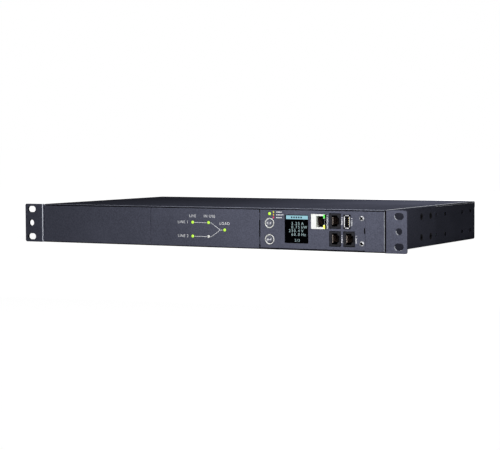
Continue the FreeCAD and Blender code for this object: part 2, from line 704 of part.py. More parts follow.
def control_plate():
    """Plate of the plug-in module, with an opening for each thing that it shows."""
    plate = front_plate((CONTROL_LEFT, CONTROL_RIGHT), CONTROL_BOTTOM, CONTROL_BOTTOM)
    hook_depth = (FACE_BACK, FACE_BACK + FACE_SHEET)
    hook_width = (CONTROL_LEFT - HOOK_OVERLAP, CONTROL_LEFT - HOOK_OVERLAP + HOOK_WIDTH)
    hooks = []
    for z in (MIDDLE - HOOK_PITCH / 2, MIDDLE + HOOK_PITCH / 2):
        hooks.append(box(hook_width, hook_depth, (z - HOOK_HEIGHT / 2, z + HOOK_HEIGHT / 2)))
    plate = plate.fuse(hooks).removeSplitter()
    through = (0, FACE_BACK + FIT)
    jack_room = (0, CONTROL_BOARD_FRONT)
    window = display_ends(FIT)
    cuts = [front_prism(rectangle(window[0], window[1], DISPLAY_CORNER), through)]
    for x, z, width, side in jack_table().values():
        half = JACK_HEIGHT / 2 + FIT
        cuts.append(box((x - FIT, x + width + FIT), jack_room, (z - half, z + half)))
    shell = usb_ends(-FIT)
    cuts.append(front_prism(rectangle(shell[0], shell[1], USB_CORNER), jack_room))
    for z in KEY_HEIGHTS:
        cuts.append(rod(CONTROL_LEFT + KEY_X, z, BEZEL_DIAMETER + 2 * SCREW_FIT, through))
    cuts.append(rod(CONTROL_LEFT + DEVICE_LENS_X, MIDDLE + DEVICE_LENS_RISE, LENS_HOLE, through))
    cuts += [rod(x, z, SCREW_HOLE, through) for x, z in control_screw_places()]
    notch_width = (CONTROL_RIGHT - PRY_NOTCH_WIDTH, RIGHT_LEFT)
    cuts.append(box(notch_width, through, (MIDDLE - PRY_NOTCH_HEIGHT / 2, MIDDLE + PRY_NOTCH_HEIGHT / 2)))
    return plate.cut(cuts)


def module_screws():
    seats = [V(x, FACE_SETBACK, z) for x, z in control_screw_places()]
    return Part.makeCompound([pan_screw(seat, BACKWARD) for seat in seats])


def control_board():
    right = CONTROL_RIGHT - BRACKET_OVERLAP - FIT
    depth = (CONTROL_BOARD_FRONT, CONTROL_BOARD_BACK)
    board = box((CONTROL_LEFT + CONTROL_BOARD_MARGIN, right), depth, board_height())
    return board.cut([rod(x, z, SCREW_HOLE, depth) for x, z in control_post_places()])


def board_posts():
    """Tapped posts between the front plates and their boards."""
    rows = [(control_post_places(), CONTROL_BOARD_FRONT), (status_post_places(), STATUS_BOARD_FRONT)]
    posts = []
    for places, board_face in rows:
        bore_end = board_face - SCREW_BITE
        for x, z in places:
            post = front_prism(hexagon(x, z, POST_WIDTH), (FACE_BACK, board_face))
            posts.append(post.cut(rod(x, z, SCREW_HOLE, (bore_end, board_face))))
    return Part.makeCompound(posts)


def display_window():
    width, height = display_ends()
    depth = (FACE_SETBACK + DISPLAY_SETBACK, FACE_BACK)
    return front_prism(rectangle(width, height, DISPLAY_CORNER), depth)


def display_panel():
    width, height = display_ends(DISPLAY_LAP)
    return box(width, (FACE_BACK, FACE_BACK + DISPLAY_PANEL), height)


def display_frame():
    """Open spacer that holds the display panel off the board."""
    width, height = display_ends(DISPLAY_LAP)
    depth = (FACE_BACK + DISPLAY_PANEL, CONTROL_BOARD_FRONT)
    inner_width, inner_height = display_ends(DISPLAY_LAP - DISPLAY_FRAME_WALL)
    return box(width, depth, height).cut(box(inner_width, (0, CASE_DEPTH), inner_height))


def push_key(z):
    """Key cap with a shallow crown, a collar that keeps it behind its bezel and a stem to the switch."""
    radius = KEY_DIAMETER / 2
    cap_back = BEZEL_DEPTH + KEY_PROUD - BEZEL_PROUD + KEY_END_GAP
    collar_back = cap_back + KEY_COLLAR
    plunger = CONTROL_BOARD_FRONT - SWITCH_BODY - SWITCH_PLUNGER
    stem_end = plunger - KEY_TRAVEL - KEY_END_GAP - (FACE_SETBACK - KEY_PROUD)
    profile = [(0, 0), (radius - 2 * KEY_CROWN, 0), (radius, KEY_CROWN), (radius, cap_back)]
    profile += [(KEY_COLLAR_DIAMETER / 2, cap_back), (KEY_COLLAR_DIAMETER / 2, collar_back)]
    profile += [(KEY_STEM / 2, collar_back), (KEY_STEM / 2, stem_end), (0, stem_end)]
    return turned(profile, V(CONTROL_LEFT + KEY_X, FACE_SETBACK - KEY_PROUD, z), BACKWARD)


def select_button():
    return push_key(KEY_HEIGHTS[0])


def enter_button():
    return push_key(KEY_HEIGHTS[1])


def button_bezels():
    """Ring around each key, flanged behind the plate."""
    inner = KEY_DIAMETER / 2 + KEY_GAP
    outer = BEZEL_DIAMETER / 2
    flange = BEZEL_FLANGE / 2
    plate_back = BEZEL_PROUD + FACE_SHEET
    profile = [(inner, 0), (outer, 0), (outer, plate_back), (flange, plate_back)]
    profile += [(flange, plate_back + BEZEL_FLANGE_SHEET), (outer, plate_back + BEZEL_FLANGE_SHEET)]
    profile += [(outer, BEZEL_DEPTH), (inner, BEZEL_DEPTH)]
    fronts = [V(CONTROL_LEFT + KEY_X, FACE_SETBACK - BEZEL_PROUD, z) for z in KEY_HEIGHTS]
    return Part.makeCompound([turned(profile, front, BACKWARD) for front in fronts])


def key_switches():
    switches = []
    x = CONTROL_LEFT + KEY_X
    half = SWITCH_SIDE / 2
    face = CONTROL_BOARD_FRONT - SWITCH_BODY
    for z in KEY_HEIGHTS:
        body = box((x - half, x + half), (face, CONTROL_BOARD_FRONT), (z - half, z + half))
        plunger = rod(x, z, SWITCH_SIDE / 2, (face - SWITCH_PLUNGER, face))
        switches.append(body.fuse(plunger).removeSplitter())
    return Part.makeCompound(switches)


def device_lens():
    x = CONTROL_LEFT + DEVICE_LENS_X
    return light_pipe(x, MIDDLE + DEVICE_LENS_RISE, CONTROL_BOARD_FRONT)


def jack_front():
    return FACE_SETBACK - JACK_PROUD


def jack_body(name, latch_depth, latch_root, latch_tip):
    """Jack housing with its stepped mouth lying on its side, latch to the right."""
    x, z, width, side = jack_table()[name]
    half_height = JACK_HEIGHT / 2
    body = box((x, x + width), (jack_front(), CONTROL_BOARD_FRONT), (z - half_height, z + half_height))
    half = JACK_MOUTH_HEIGHT / 2
    left = x + side
    right = left + JACK_MOUTH_WIDTH
    upper = [(right, z + half), (right, z + latch_root / 2), (right + latch_depth, z + latch_tip / 2)]
    lower = [(a, 2 * z - b) for a, b in upper]
    corners = [(left, z - half)] + lower + upper[::-1] + [(left, z + half)]
    mouth = front_prism([(a, b, 0.0) for a, b in corners], (0, jack_front() + JACK_MOUTH_DEPTH))
    return body.cut(mouth)


def light_ends(z):
    """Place of the small lamp in the Ethernet jack's right-hand corner at height z."""
    left, middle, width, side = jack_table()["ethernet_jack"]
    right = left + width - ETHERNET_LIGHT_EDGE
    direction = 1 if z > middle else -1
    outer = z - direction * ETHERNET_LIGHT_EDGE
    return (right - ETHERNET_LIGHT_WIDTH, right), sorted((outer, outer - direction * ETHERNET_LIGHT_HEIGHT))


def ethernet_lights():
    """Two lamps: the upper one first."""
    left, middle, width, side = jack_table()["ethernet_jack"]
    depth = (jack_front(), jack_front() + ETHERNET_LIGHT_DEPTH)
    lights = []
    for edge in (middle + JACK_HEIGHT / 2, middle - JACK_HEIGHT / 2):
        ends = light_ends(edge)
        lights.append(box(ends[0], depth, ends[1]))
    return lights


def ethernet_jack():
    tip = ETHERNET_LATCH_ROOT - ETHERNET_LATCH_DEPTH
    housing = jack_body("ethernet_jack", ETHERNET_LATCH_DEPTH, ETHERNET_LATCH_ROOT, tip)
    return housing.cut(ethernet_lights())


def plain_jack(name):
    return jack_body(name, JACK_LATCH_DEPTH, JACK_LATCH_ROOT, JACK_LATCH_TIP)


def jack_wires(name):
    """Sprung contact wires that rise from the mouth's left wall towards its back."""
    x, z, width, side = jack_table()[name]
    wall = x + side
    start = jack_front() + CONTACT_START
    end = jack_front() + JACK_MOUTH_DEPTH
    first = z - CONTACT_PITCH * (CONTACT_COUNT - 1) / 2 - CONTACT_WIRE / 2
    bend = [(wall, start), (wall + CONTACT_WIRE, start), (wall + CONTACT_WIRE + CONTACT_RISE, end)]
    bend.append((wall + CONTACT_RISE, end))
    wires = []
    for i in range(CONTACT_COUNT):
        points = [V(a, b, first + CONTACT_PITCH * i) for a, b in bend]
        wires.append(Part.Face(Part.makePolygon(points + points[:1])).extrude(UPWARD * CONTACT_WIRE))
    return wires


def ethernet_contacts():
    return Part.makeCompound(jack_wires("ethernet_jack"))


def jack_contacts():
    names = [name for name in jack_table() if name != "ethernet_jack"]
    return Part.makeCompound([wire for name in names for wire in jack_wires(name)])


def usb_shell():
    """Drawn metal sleeve, open at the front and closed by its insulator at the board."""
    outer = usb_ends()
    inner = usb_ends(USB_WALL)
    depth = (jack_front(), CONTROL_BOARD_FRONT)
    sleeve = front_prism(rectangle(outer[0], outer[1], USB_CORNER), depth)
    return sleeve.cut(front_prism(rectangle(inner[0], inner[1], USB_CORNER - USB_WALL), (0, CASE_DEPTH)))


def usb_tongue_ends():
    inner = usb_ends(USB_WALL)
    middle = sum(inner[1]) / 2
    left = inner[0][0] + USB_TONGUE_SIDE
    return (left, left + USB_TONGUE), (middle - USB_TONGUE_HEIGHT / 2, middle + USB_TONGUE_HEIGHT / 2)


def usb_insulator():
    inner = usb_ends(USB_WALL)
    block_face = jack_front() + USB_MOUTH_DEPTH
    section = rectangle(inner[0], inner[1], USB_CORNER - USB_WALL)
    block = front_prism(section, (block_face, CONTROL_BOARD_FRONT))
    tongue = usb_tongue_ends()
    tongue_front = jack_front() + USB_TONGUE_SETBACK
    return block.fuse(box(tongue[0], (tongue_front, block_face), tongue[1])).removeSplitter()


def usb_contacts():
    tongue = usb_tongue_ends()
    middle = sum(tongue[1]) / 2
    depth = (jack_front() + 2 * USB_TONGUE_SETBACK, jack_front() + USB_MOUTH_DEPTH)
    width = (tongue[0][1], tongue[0][1] + USB_CONTACT)
    half = USB_CONTACT_WIDTH / 2
    strips = []
    for i in range(USB_CONTACTS):
        z = middle + USB_CONTACT_PITCH * (i - (USB_CONTACTS - 1) / 2)
        strips.append(box(width, depth, (z - half, z + half)))
    return Part.makeCompound(strips)


def plug_middle():
    """Height of the module's plug, which meets the socket standing on the main board."""
    return MAIN_BOARD_TOP + SOCKET_WALL + PLUG_HEIGHT / 2


def module_plug():
    x = CONTROL_LEFT + SOCKET_X
    z = plug_middle()
    shoulder = MAIN_BOARD_FRONT - FIT
    height = (z - PLUG_HEIGHT / 2, z + PLUG_HEIGHT / 2)
    body = box((x, x + PLUG_WIDTH), (CONTROL_BOARD_BACK, shoulder), height)
    half = PLUG_TONGUE_HEIGHT / 2
    tongue_width = (x + SOCKET_WALL, x + PLUG_WIDTH - SOCKET_WALL)
    tongue_depth = (shoulder, MAIN_BOARD_FRONT + PLUG_TONGUE)
    return body.fuse(box(tongue_width, tongue_depth, (z - half, z + half))).removeSplitter()


# Main board and what stands on it

def backplane_socket():
    x = CONTROL_LEFT + SOCKET_X
    z = plug_middle()
    height = (MAIN_BOARD_TOP, z + PLUG_HEIGHT / 2 + SOCKET_WALL)
    body = box((x, x + PLUG_WIDTH), (MAIN_BOARD_FRONT, MAIN_BOARD_FRONT + SOCKET_DEPTH), height)
    half = PLUG_TONGUE_HEIGHT / 2 + FIT
    slot_width = (x + SOCKET_WALL - FIT, x + PLUG_WIDTH - SOCKET_WALL + FIT)
    slot_depth = (MAIN_BOARD_FRONT, MAIN_BOARD_FRONT + PLUG_TONGUE + FIT)
    return body.cut(box(slot_width, slot_depth, (z - half, z + half)))


def main_post_places():
    x = MAIN_BOARD_HALF - MAIN_POST_EDGE
    y = (MAIN_BOARD_FRONT + MAIN_POST_EDGE, MAIN_BOARD_REAR - PANEL_FOOT)
    return [(side * x, depth) for side in (-1, 0, 1) for depth in y]


def upright(x, y, diameter, z):
    """Round bar standing between the two heights given."""
    return Part.makeCylinder(diameter / 2, z[1] - z[0], V(x, y, z[0]))


def main_board():
    under = MAIN_BOARD_TOP - BOARD
    half = MAIN_BOARD_HALF
    board = box((-half, half), (MAIN_BOARD_FRONT, MAIN_BOARD_REAR), (under, MAIN_BOARD_TOP))
    return board.cut([upright(x, y, SCREW_HOLE, (under, MAIN_BOARD_TOP)) for x, y in main_post_places()])


def main_standoffs():
    top = TRAY_SHEET + MAIN_STANDOFF
    posts = []
    for x, y in main_post_places():
        section = outline(hexagon(x, y, POST_WIDTH), lambda a, b: V(a, b, TRAY_SHEET))
        post = section.extrude(UPWARD * MAIN_STANDOFF)
        posts.append(post.cut(upright(x, y, SCREW_HOLE, (top - SCREW_BITE, top))))
    return Part.makeCompound(posts)


def board_screws():
    screws = [hex_screw(V(x, y, MAIN_BOARD_TOP), -UPWARD) for x, y in main_post_places()]
    screws += [hex_screw(V(x, CONTROL_BOARD_BACK, z), -BACKWARD) for x, z in control_post_places()]
    status_back = STATUS_BOARD_FRONT + BOARD
    screws += [hex_screw(V(x, status_back, z), -BACKWARD) for x, z in status_post_places()]
    return Part.makeCompound(screws)


def standing_block(x, y, height):
    return box(x, y, (MAIN_BOARD_TOP, MAIN_BOARD_TOP + height))


def relay_left():
    return MAIN_POST_EDGE - MAIN_BOARD_HALF


def relay_rear():
    return MAIN_BOARD_REAR - RELAY_SETBACK - INLET_BLADE_WIDTH


def transfer_relays():
    """Four power relays in a row: they pass one input or the other to the outlets."""
    relays = []
    rear = relay_rear()
    for i in range(RELAY_COUNT):
        x = relay_left() + RELAY_PITCH * i
        relays.append(standing_block((x, x + RELAY_WIDTH), (rear - RELAY_LENGTH, rear), RELAY_HEIGHT))
    return Part.makeCompound(relays)


def after_relays():
    return relay_left() + RELAY_PITCH * RELAY_COUNT + PART_SPACING


def current_transformer():
    """Ring core standing on a small base: it measures the load that the outlets draw."""
    x = after_relays()
    y = relay_rear() - SENSOR_RING / 2
    z = MAIN_BOARD_TOP + SENSOR_BASE + SENSOR_RING / 2
    ring = Part.makeCylinder(SENSOR_RING / 2, SENSOR_THICKNESS, V(x, y, z), V(1, 0, 0))
    bore = Part.makeCylinder(SENSOR_HOLE / 2, SENSOR_THICKNESS, V(x, y, z), V(1, 0, 0))
    half = SENSOR_HOLE / 2
    foot_top = z - SENSOR_HOLE
    foot = box((x, x + SENSOR_THICKNESS), (y - half, y + half), (MAIN_BOARD_TOP, foot_top))
    return ring.fuse(foot).removeSplitter().cut(bore)


def supply_left():
    return after_relays() + SENSOR_THICKNESS + PART_SPACING


def supply_blocks():
    """Two potted supplies, one fed by each input, for the control circuits."""
    blocks = []
    depth = (relay_rear() - SUPPLY_LENGTH, relay_rear())
    for i in range(INLET_COUNT):
        x = supply_left() + (SUPPLY_WIDTH + PART_SPACING) * i
        blocks.append(standing_block((x, x + SUPPLY_WIDTH), depth, SUPPLY_HEIGHT))
    return Part.makeCompound(blocks)


def surge_discs():
    """Surge absorbers: coated discs standing on edge in front of the relays."""
    discs = []
    y = relay_rear() - RELAY_LENGTH - PART_SPACING
    z = MAIN_BOARD_TOP + SURGE_DIAMETER / 2
    half = SURGE_DIAMETER / 4
    for i in range(RELAY_COUNT):
        x = relay_left() + SURGE_PITCH * i
        disc = Part.makeCylinder(SURGE_DIAMETER / 2, SURGE_THICKNESS, V(x, y, z), V(1, 0, 0))
        leads = standing_block((x, x + SURGE_THICKNESS), (y - half, y + half), SURGE_DIAMETER / 2)
        discs.append(disc.fuse(leads).removeSplitter())
    return Part.makeCompound(discs)


# Rear

def keyed_corners(x, width, height, chamfer):
    """Socket outline: a rectangle with its two upper corners cut off."""
    left, right = x - width / 2, x + width / 2
    low, high = SOCKET_Z - height / 2, SOCKET_Z + height / 2
    corners = [(left, low), (right, low), (right, high - chamfer), (right - chamfer, high)]
    corners += [(left + chamfer, high), (left, high - chamfer)]
    return [(a, b, 0.0) for a, b in corners]


def outlet_places(bank):
    first = BANK_PLACES[bank] - OUTLET_PITCH * (OUTLETS_PER_BANK - 1) / 2
    return [first + OUTLET_PITCH * i for i in range(OUTLETS_PER_BANK)]


def all_outlet_places():
    return [x for bank in range(OUTLET_BANKS) for x in outlet_places(bank)]


def blade_places(x):
    """Line, neutral and earth openings of the outlet at x."""
    low = SOCKET_Z - BLADE_RISE
    return [(x - BLADE_SPREAD, low), (x + BLADE_SPREAD, low), (x, SOCKET_Z + BLADE_RISE)]


def outlet_bank(bank):
    """Row of outlets in one moulding: each has a keyed boss in a groove, with three blade openings."""
    middle = BANK_PLACES[bank]
    half = BANK_WIDTH / 2
    half_height = OUTLET_HEIGHT / 2
    face = PANEL_FACE + OUTLET_FLANGE
    width = (middle - half, middle + half)
    height = (SOCKET_Z - half_height, SOCKET_Z + half_height)
    lap = OUTLET_FLANGE_LAP
    rim = rectangle((width[0] - lap, width[1] + lap), (height[0] - lap, height[1] + lap), lap)
    flange = front_prism(rim, (PANEL_FACE, face))
    body = box(width, (OUTLET_BACK, PANEL_FACE), height).fuse(flange).removeSplitter()
    cuts = []
    half_wide = BLADE_SLOT_WIDTH / 2
    half_tall = BLADE_SLOT_HEIGHT / 2
    depth = (face - GROOVE_DEPTH, face)
    for x in outlet_places(bank):
        groove = front_prism(keyed_corners(x, GROOVE_WIDTH, GROOVE_HEIGHT, GROOVE_CORNER), depth)
        boss = front_prism(keyed_corners(x, BOSS_WIDTH, BOSS_HEIGHT, BOSS_CORNER), depth)
        cuts.append(groove.cut(boss))
        for bx, bz in blade_places(x):
            slot = (bz - half_tall, bz + half_tall)
            cuts.append(box((bx - half_wide, bx + half_wide), (OUTLET_BACK, face), slot))
    return body.cut(cuts)


def bus_strip(slot, strip_z, layer, leg_x):
    """Stamped strip behind the outlets: a tongue into each one and a leg down to the main board."""
    back = OUTLET_BACK - BUS_STANDOFF - layer
    depth = (back - BUS_SHEET, back)
    places = all_outlet_places()
    half = BUS_WIDTH / 2
    ends = (places[0] - OUTLET_PITCH / 2, leg_x + half)
    pieces = [box(ends, depth, (strip_z - half, strip_z + half))]
    half_tongue = BUS_TONGUE_WIDTH / 2
    for x in places:
        bx, bz = blade_places(x)[slot]
        tongue = (bx - BUS_SHEET / 2, bx + BUS_SHEET / 2)
        pieces.append(box(tongue, (back, OUTLET_BACK + BUS_TONGUE), (bz - half_tongue, bz + half_tongue)))
        arm = sorted((strip_z, bz + half_tongue if bz > strip_z else bz - half_tongue))
        pieces.append(box((bx - half_tongue, bx + half_tongue), depth, arm))
    pieces.append(box((leg_x - half, leg_x + half), depth, (MAIN_BOARD_TOP, strip_z + half)))
    return pieces[0].fuse(pieces[1:]).removeSplitter()


def bus_leg(step):
    return BANK_PLACES[-1] + BANK_WIDTH / 2 + BUS_OVERHANG - (BUS_WIDTH + BUS_SHEET) * step


def line_bus():
    return bus_strip(0, MAIN_BOARD_TOP + BUS_LIFT + BUS_WIDTH / 2, 0.0, bus_leg(1))


def neutral_bus():
    return bus_strip(1, SOCKET_Z + BUS_SPREAD, 0.0, bus_leg(0))


def earth_bus():
    return bus_strip(2, SOCKET_Z + BLADE_RISE, BUS_LAYER, bus_leg(0))


def inlet_screw_places():
    half = INLET_SCREW_SPAN / 2
    return [(x + side * half, SOCKET_Z) for x in INLET_PLACES for side in (-1, 1)]


def inlet_blade_places(x):
    low = SOCKET_Z - INLET_BLADE_RISE
    return [(x - INLET_BLADE_SPREAD, low), (x + INLET_BLADE_SPREAD, low), (x, SOCKET_Z + INLET_BLADE_RISE)]


def centred(x, width, height, radius):
    """Corners of a rounded rectangle centred on the sockets' height."""
    across = (x - width / 2, x + width / 2)
    return rectangle(across, (SOCKET_Z - height / 2, SOCKET_Z + height / 2), radius)


def inlet(x):
    """Appliance inlet: a flanged cup with three blade openings in its floor."""
    face = PANEL_FACE + INLET_FLANGE
    cup_back = face - INLET_MOUTH_DEPTH - INLET_BACK
    rim = centred(x, INLET_FLANGE_WIDTH, INLET_FLANGE_HEIGHT, INLET_FLANGE_CORNER)
    cup = centred(x, INLET_MOUTH_WIDTH + 2 * INLET_WALL, INLET_MOUTH_HEIGHT + 2 * INLET_WALL, 0.0)
    mouth = centred(x, INLET_MOUTH_WIDTH, INLET_MOUTH_HEIGHT, INLET_MOUTH_CORNER)
    flange = front_prism(rim, (PANEL_FACE, face))
    body = front_prism(cup, (cup_back, PANEL_FACE)).fuse(flange).removeSplitter()
    cuts = [front_prism(mouth, (face - INLET_MOUTH_DEPTH, face))]
    width = INLET_BLADE_WIDTH / 2 + SCREW_FIT
    height = INLET_BLADE / 2 + SCREW_FIT
    for bx, bz in inlet_blade_places(x):
        cuts.append(box((bx - width, bx + width), (cup_back, face), (bz - height, bz + height)))
    for sx, sz in inlet_screw_places():
        cuts.append(flat_screw(V(sx, face, sz), -BACKWARD, SCREW_FIT))
    return body.cut(cuts)


def inlet_blades():
    """Flat contact blades, each bent down behind its inlet to stand on the main board."""
    face = PANEL_FACE + INLET_FLANGE
    leg = face - INLET_MOUTH_DEPTH - INLET_BACK - INLET_LEG_STEP
    half = INLET_BLADE / 2
    blades = []
    for x in INLET_PLACES:
        for i, (bx, bz) in enumerate(inlet_blade_places(x)):
            leg_face = leg - INLET_LEG_STEP * (i == 2)
            path = [(face - INLET_BLADE_SETBACK, bz + half), (leg_face, bz + half)]
            path.append((leg_face, MAIN_BOARD_TOP))
            section = folded_sheet(path, INLET_BLADE, SHEET_BEND)
            left = bx - INLET_BLADE_WIDTH / 2
            blade = outline(section, lambda a, b: V(left, a, b)).extrude(V(INLET_BLADE_WIDTH, 0, 0))
            blades.append(blade)
    return Part.makeCompound(blades)


def inlet_screws():
    face = PANEL_FACE + INLET_FLANGE
    return Part.makeCompound([flat_screw(V(x, face, z), -BACKWARD) for x, z in inlet_screw_places()])


def stud_height():
    return MIDDLE - STUD_DROP


def earth_stud():
    """Stud with its head inside the rear panel, drawn at its thread's root where the nut grips it."""
    z = stud_height()
    free_end = PANEL_FACE + NUT_HEIGHT + STUD_RELIEF
    head = rod(STUD_X, z, STUD_HEAD, (PANEL_INNER - STUD_HEAD_HEIGHT, PANEL_INNER))
    neck = rod(STUD_X, z, STUD_DIAMETER, (PANEL_INNER, PANEL_FACE))
    gripped = rod(STUD_X, z, STUD_ROOT, (PANEL_FACE, free_end))
    free = rod(STUD_X, z, STUD_DIAMETER, (free_end, PANEL_FACE + STUD_REACH))
    return head.fuse([neck, gripped, free]).removeSplitter()


def earth_nut():
    nut = front_prism(hexagon(STUD_X, stud_height(), NUT_WIDTH), (PANEL_FACE, PANEL_FACE + NUT_HEIGHT))
    return nut.cut(rod(STUD_X, stud_height(), STUD_ROOT + 2 * SCREW_FIT, (PANEL_INNER, OVERALL_DEPTH)))


# Every piece by name

def pieces():
    makers = [chassis_tray, rear_panel, top_cover, cover_screws, left_rack_ear, right_rack_ear, ear_screws]
    makers += [blank_fascia, status_fascia, right_fascia, module_bracket]
    makers += [lit_lenses, unlit_lens, status_board, status_link]
    makers += [control_plate, module_screws, control_board, board_posts]
    makers += [display_window, display_panel, display_frame]
    makers += [select_button, enter_button, button_bezels, key_switches, device_lens]
    makers += [ethernet_jack, ethernet_contacts, jack_contacts]
    makers += [usb_shell, usb_insulator, usb_contacts, module_plug]
    makers += [main_board, main_standoffs, board_screws, backplane_socket, transfer_relays]
    makers += [current_transformer, supply_blocks, surge_discs]
    makers += [line_bus, neutral_bus, earth_bus, inlet_blades, inlet_screws, earth_stud, earth_nut]
    named = {maker.__name__: maker() for maker in makers}
    for name in ("serial_jack", "link_jack", "sensor_jack"):
        named[name] = plain_jack(name)
    for name, light in zip(("link_light", "activity_light"), ethernet_lights()):
        named[name] = light
    for i, x in enumerate(INLET_PLACES):
        named["inlet_%d" % (i + 1)] = inlet(x)
    for bank in range(OUTLET_BANKS):
        named["outlet_bank_%d" % (bank + 1)] = outlet_bank(bank)
    return named


os.makedirs("parts", exist_ok=True)
to_origin = V(0, -OVERALL_DEPTH / 2, 0)
for name, shape in pieces().items():
    shape.translate(to_origin)
    shape.exportStep("parts/%s.step" % name)
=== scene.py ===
"""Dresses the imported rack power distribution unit: finishes, edges, screws, lamps, keys, display,
print and stage."""
import json
import math

import bmesh
import bpy
from bpy.props import FloatProperty, FloatVectorProperty, IntProperty, PointerProperty
from mathutils import Matrix, Vector

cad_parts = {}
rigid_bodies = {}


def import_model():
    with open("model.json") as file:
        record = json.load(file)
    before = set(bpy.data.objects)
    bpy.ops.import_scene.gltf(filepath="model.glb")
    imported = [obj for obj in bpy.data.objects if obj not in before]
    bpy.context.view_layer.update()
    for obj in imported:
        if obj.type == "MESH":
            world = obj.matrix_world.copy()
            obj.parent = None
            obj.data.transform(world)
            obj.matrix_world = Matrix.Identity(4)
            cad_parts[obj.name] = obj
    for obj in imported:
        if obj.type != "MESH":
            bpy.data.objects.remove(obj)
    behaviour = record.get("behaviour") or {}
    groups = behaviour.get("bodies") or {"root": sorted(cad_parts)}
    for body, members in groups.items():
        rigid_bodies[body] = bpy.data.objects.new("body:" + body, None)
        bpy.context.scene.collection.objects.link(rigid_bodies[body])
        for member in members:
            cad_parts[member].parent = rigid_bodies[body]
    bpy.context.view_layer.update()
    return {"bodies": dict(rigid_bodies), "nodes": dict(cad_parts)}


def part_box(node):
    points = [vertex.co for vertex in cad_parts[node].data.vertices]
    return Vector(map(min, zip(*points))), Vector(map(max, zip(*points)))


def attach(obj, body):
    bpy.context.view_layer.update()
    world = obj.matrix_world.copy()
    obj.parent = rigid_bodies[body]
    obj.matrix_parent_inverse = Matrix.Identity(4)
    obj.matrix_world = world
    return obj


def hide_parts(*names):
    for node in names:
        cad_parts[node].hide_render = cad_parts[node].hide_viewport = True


bl_info = {
    "name": "Rack Power Unit",
    "version": (1, 0, 0),
    "blender": (4, 5, 0),
    "location": "View3D > Sidebar > Rack Unit",
    "description": "Finishes, marks and small parts of a rack power unit, and its studio",
    "category": "Object",
}

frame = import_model()

MM = 0.001
WELD = 1e-6
FLAT = math.radians(0.3)
CORNER = math.radians(35)
FRONT = Vector((0, -1, 0))
REAR = Vector((0, 1, 0))

# Depths of the front plates' face and of the display's face
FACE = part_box("blank_fascia")[0].y
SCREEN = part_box("display_window")[0].y


def linear(code):
    """Linear colour of an sRGB hex value."""
    shares = [int(code[i:i + 2], 16) / 255 for i in (1, 3, 5)]
    return tuple(s / 12.92 if s <= 0.04045 else ((s + 0.055) / 1.055) ** 2.4 for s in shares)


def colour_of(name, words, code):
    return FloatVectorProperty(name=name, description=words, subtype="COLOR", size=3, min=0.0, max=1.0,
                               default=linear(code))


def length_of(name, words, millimetres):
    return FloatProperty(name=name, description=words, unit="LENGTH", min=0.0, precision=5,
                         default=millimetres * MM)


def angle_of(name, words, degrees):
    return FloatProperty(name=name, description=words, unit="ROTATION", default=math.radians(degrees))


def level_of(name, words, level):
    return FloatProperty(name=name, description=words, min=0.0, default=level)


class CaseSettings(bpy.types.PropertyGroup):
    """Coated steel sheet and its fasteners."""

    coat_dark: colour_of("Coat, dark", "Darkest tone of the powder coat", "#3c3e49")
    coat_light: colour_of("Coat, light", "Lightest tone of the powder coat", "#5a5c6b")
    coat_grain: length_of("Coat grain", "Width of one bump of the powder coat", 1.3)
    edge: length_of("Edge rounding", "Rounding of the sheets' cut edges", 0.2)
    joint_edge: length_of("Joint rounding", "Rounding where the module meets the right plate", 0.1)
    push_left: length_of("Push, left", "How far the right plate reaches to the module", 0.3)
    push_right: length_of("Push, right", "How far the right plate reaches to the ear", 0.6)
    # The dark strip below the front plates is painted shade
    foot: length_of("Foot", "Height of the dark strip that shows below the front plates", 0.7)
    # The cover's rounded edges carry a painted highlight
    bright_edge: length_of("Bright edge", "Rounding of the edges that show bare metal", 0.35)
    recess_span: length_of("Recess span", "Length of a cross recess from tip to tip", 4.4)
    recess_width: length_of("Recess width", "Width of one arm of the cross recess", 1.6)
    recess_depth: length_of("Recess depth", "Depth of the cross recess", 1.1)
    turn_seed: IntProperty(name="Turn seed", default=7,
                           description="Seed of the angles that the screws stop at")


class LampSettings(bpy.types.PropertyGroup):
    """Lamp covers, keys and display."""

    dome: length_of("Dome", "Rise of a lamp cover above the plate", 0.45)
    lit: colour_of("Lit lamp", "Colour of a lamp that is on", "#b4e634")
    lit_level: level_of("Lit level", "Strength of a lamp that is on", 1.0)
    screen_ink: colour_of("Display figures", "Colour of the lit figures", "#a6c0c3")
    screen_bar: colour_of("Display bar", "Colour of the lit bar at the top", "#9ad3e4")
    screen_level: level_of("Display level", "Strength of the lit figures", 0.8)


class PrintSettings(bpy.types.PropertyGroup):
    """Printed marks on the front plates."""

    ink: colour_of("Ink", "Colour of the printed lines and figures", "#e4e5e8")
    film: length_of("Film", "Thickness of the printed film", 0.03)
    line: length_of("Line", "Width of the lines between the lamps", 0.45)
    line_drop: length_of("Line drop", "How far these lines run below the lamps' middles", 0.2)
    figure: length_of("Figure", "Size of the printed figures", 4.3)


class StageSettings(bpy.types.PropertyGroup):
    """Camera, lights and floor."""

    lens: level_of("Focal length", "Focal length of the camera in millimetres", 107.797)
    station: FloatVectorProperty(name="Camera", description="Where the camera stands", size=3,
                                 unit="LENGTH", default=(0.84567, -1.52141, 0.11272))
    heading: angle_of("Heading", "Turn of the camera to the left of the unit's depth", 29.5007)
    dip: angle_of("Dip", "Downward tilt of the camera", 3.1250)
    roll: angle_of("Roll", "Roll of the camera about its own axis", -0.3431)
    floor: colour_of("Floor", "Tone of the floor in the light that it passes on", "#8c8c8c")
    ambient: level_of("Ambient", "Strength of the light from all round", 0.012)


# Node trees and materials

def put(tree, kind, inputs=None, **settings):
    """Adds a node with its settings and gives its outputs. Inputs are values or the sockets that
    feed them."""
    node = tree.nodes.new(kind)
    for name, value in settings.items():
        setattr(node, name, value)
    for name, value in (inputs or {}).items():
        if isinstance(value, bpy.types.NodeSocket):
            tree.links.new(value, node.inputs[name])
        else:
            node.inputs[name].default_value = value
    return node.outputs


def rgba(colour):
    return (*tuple(colour)[:3], 1.0)


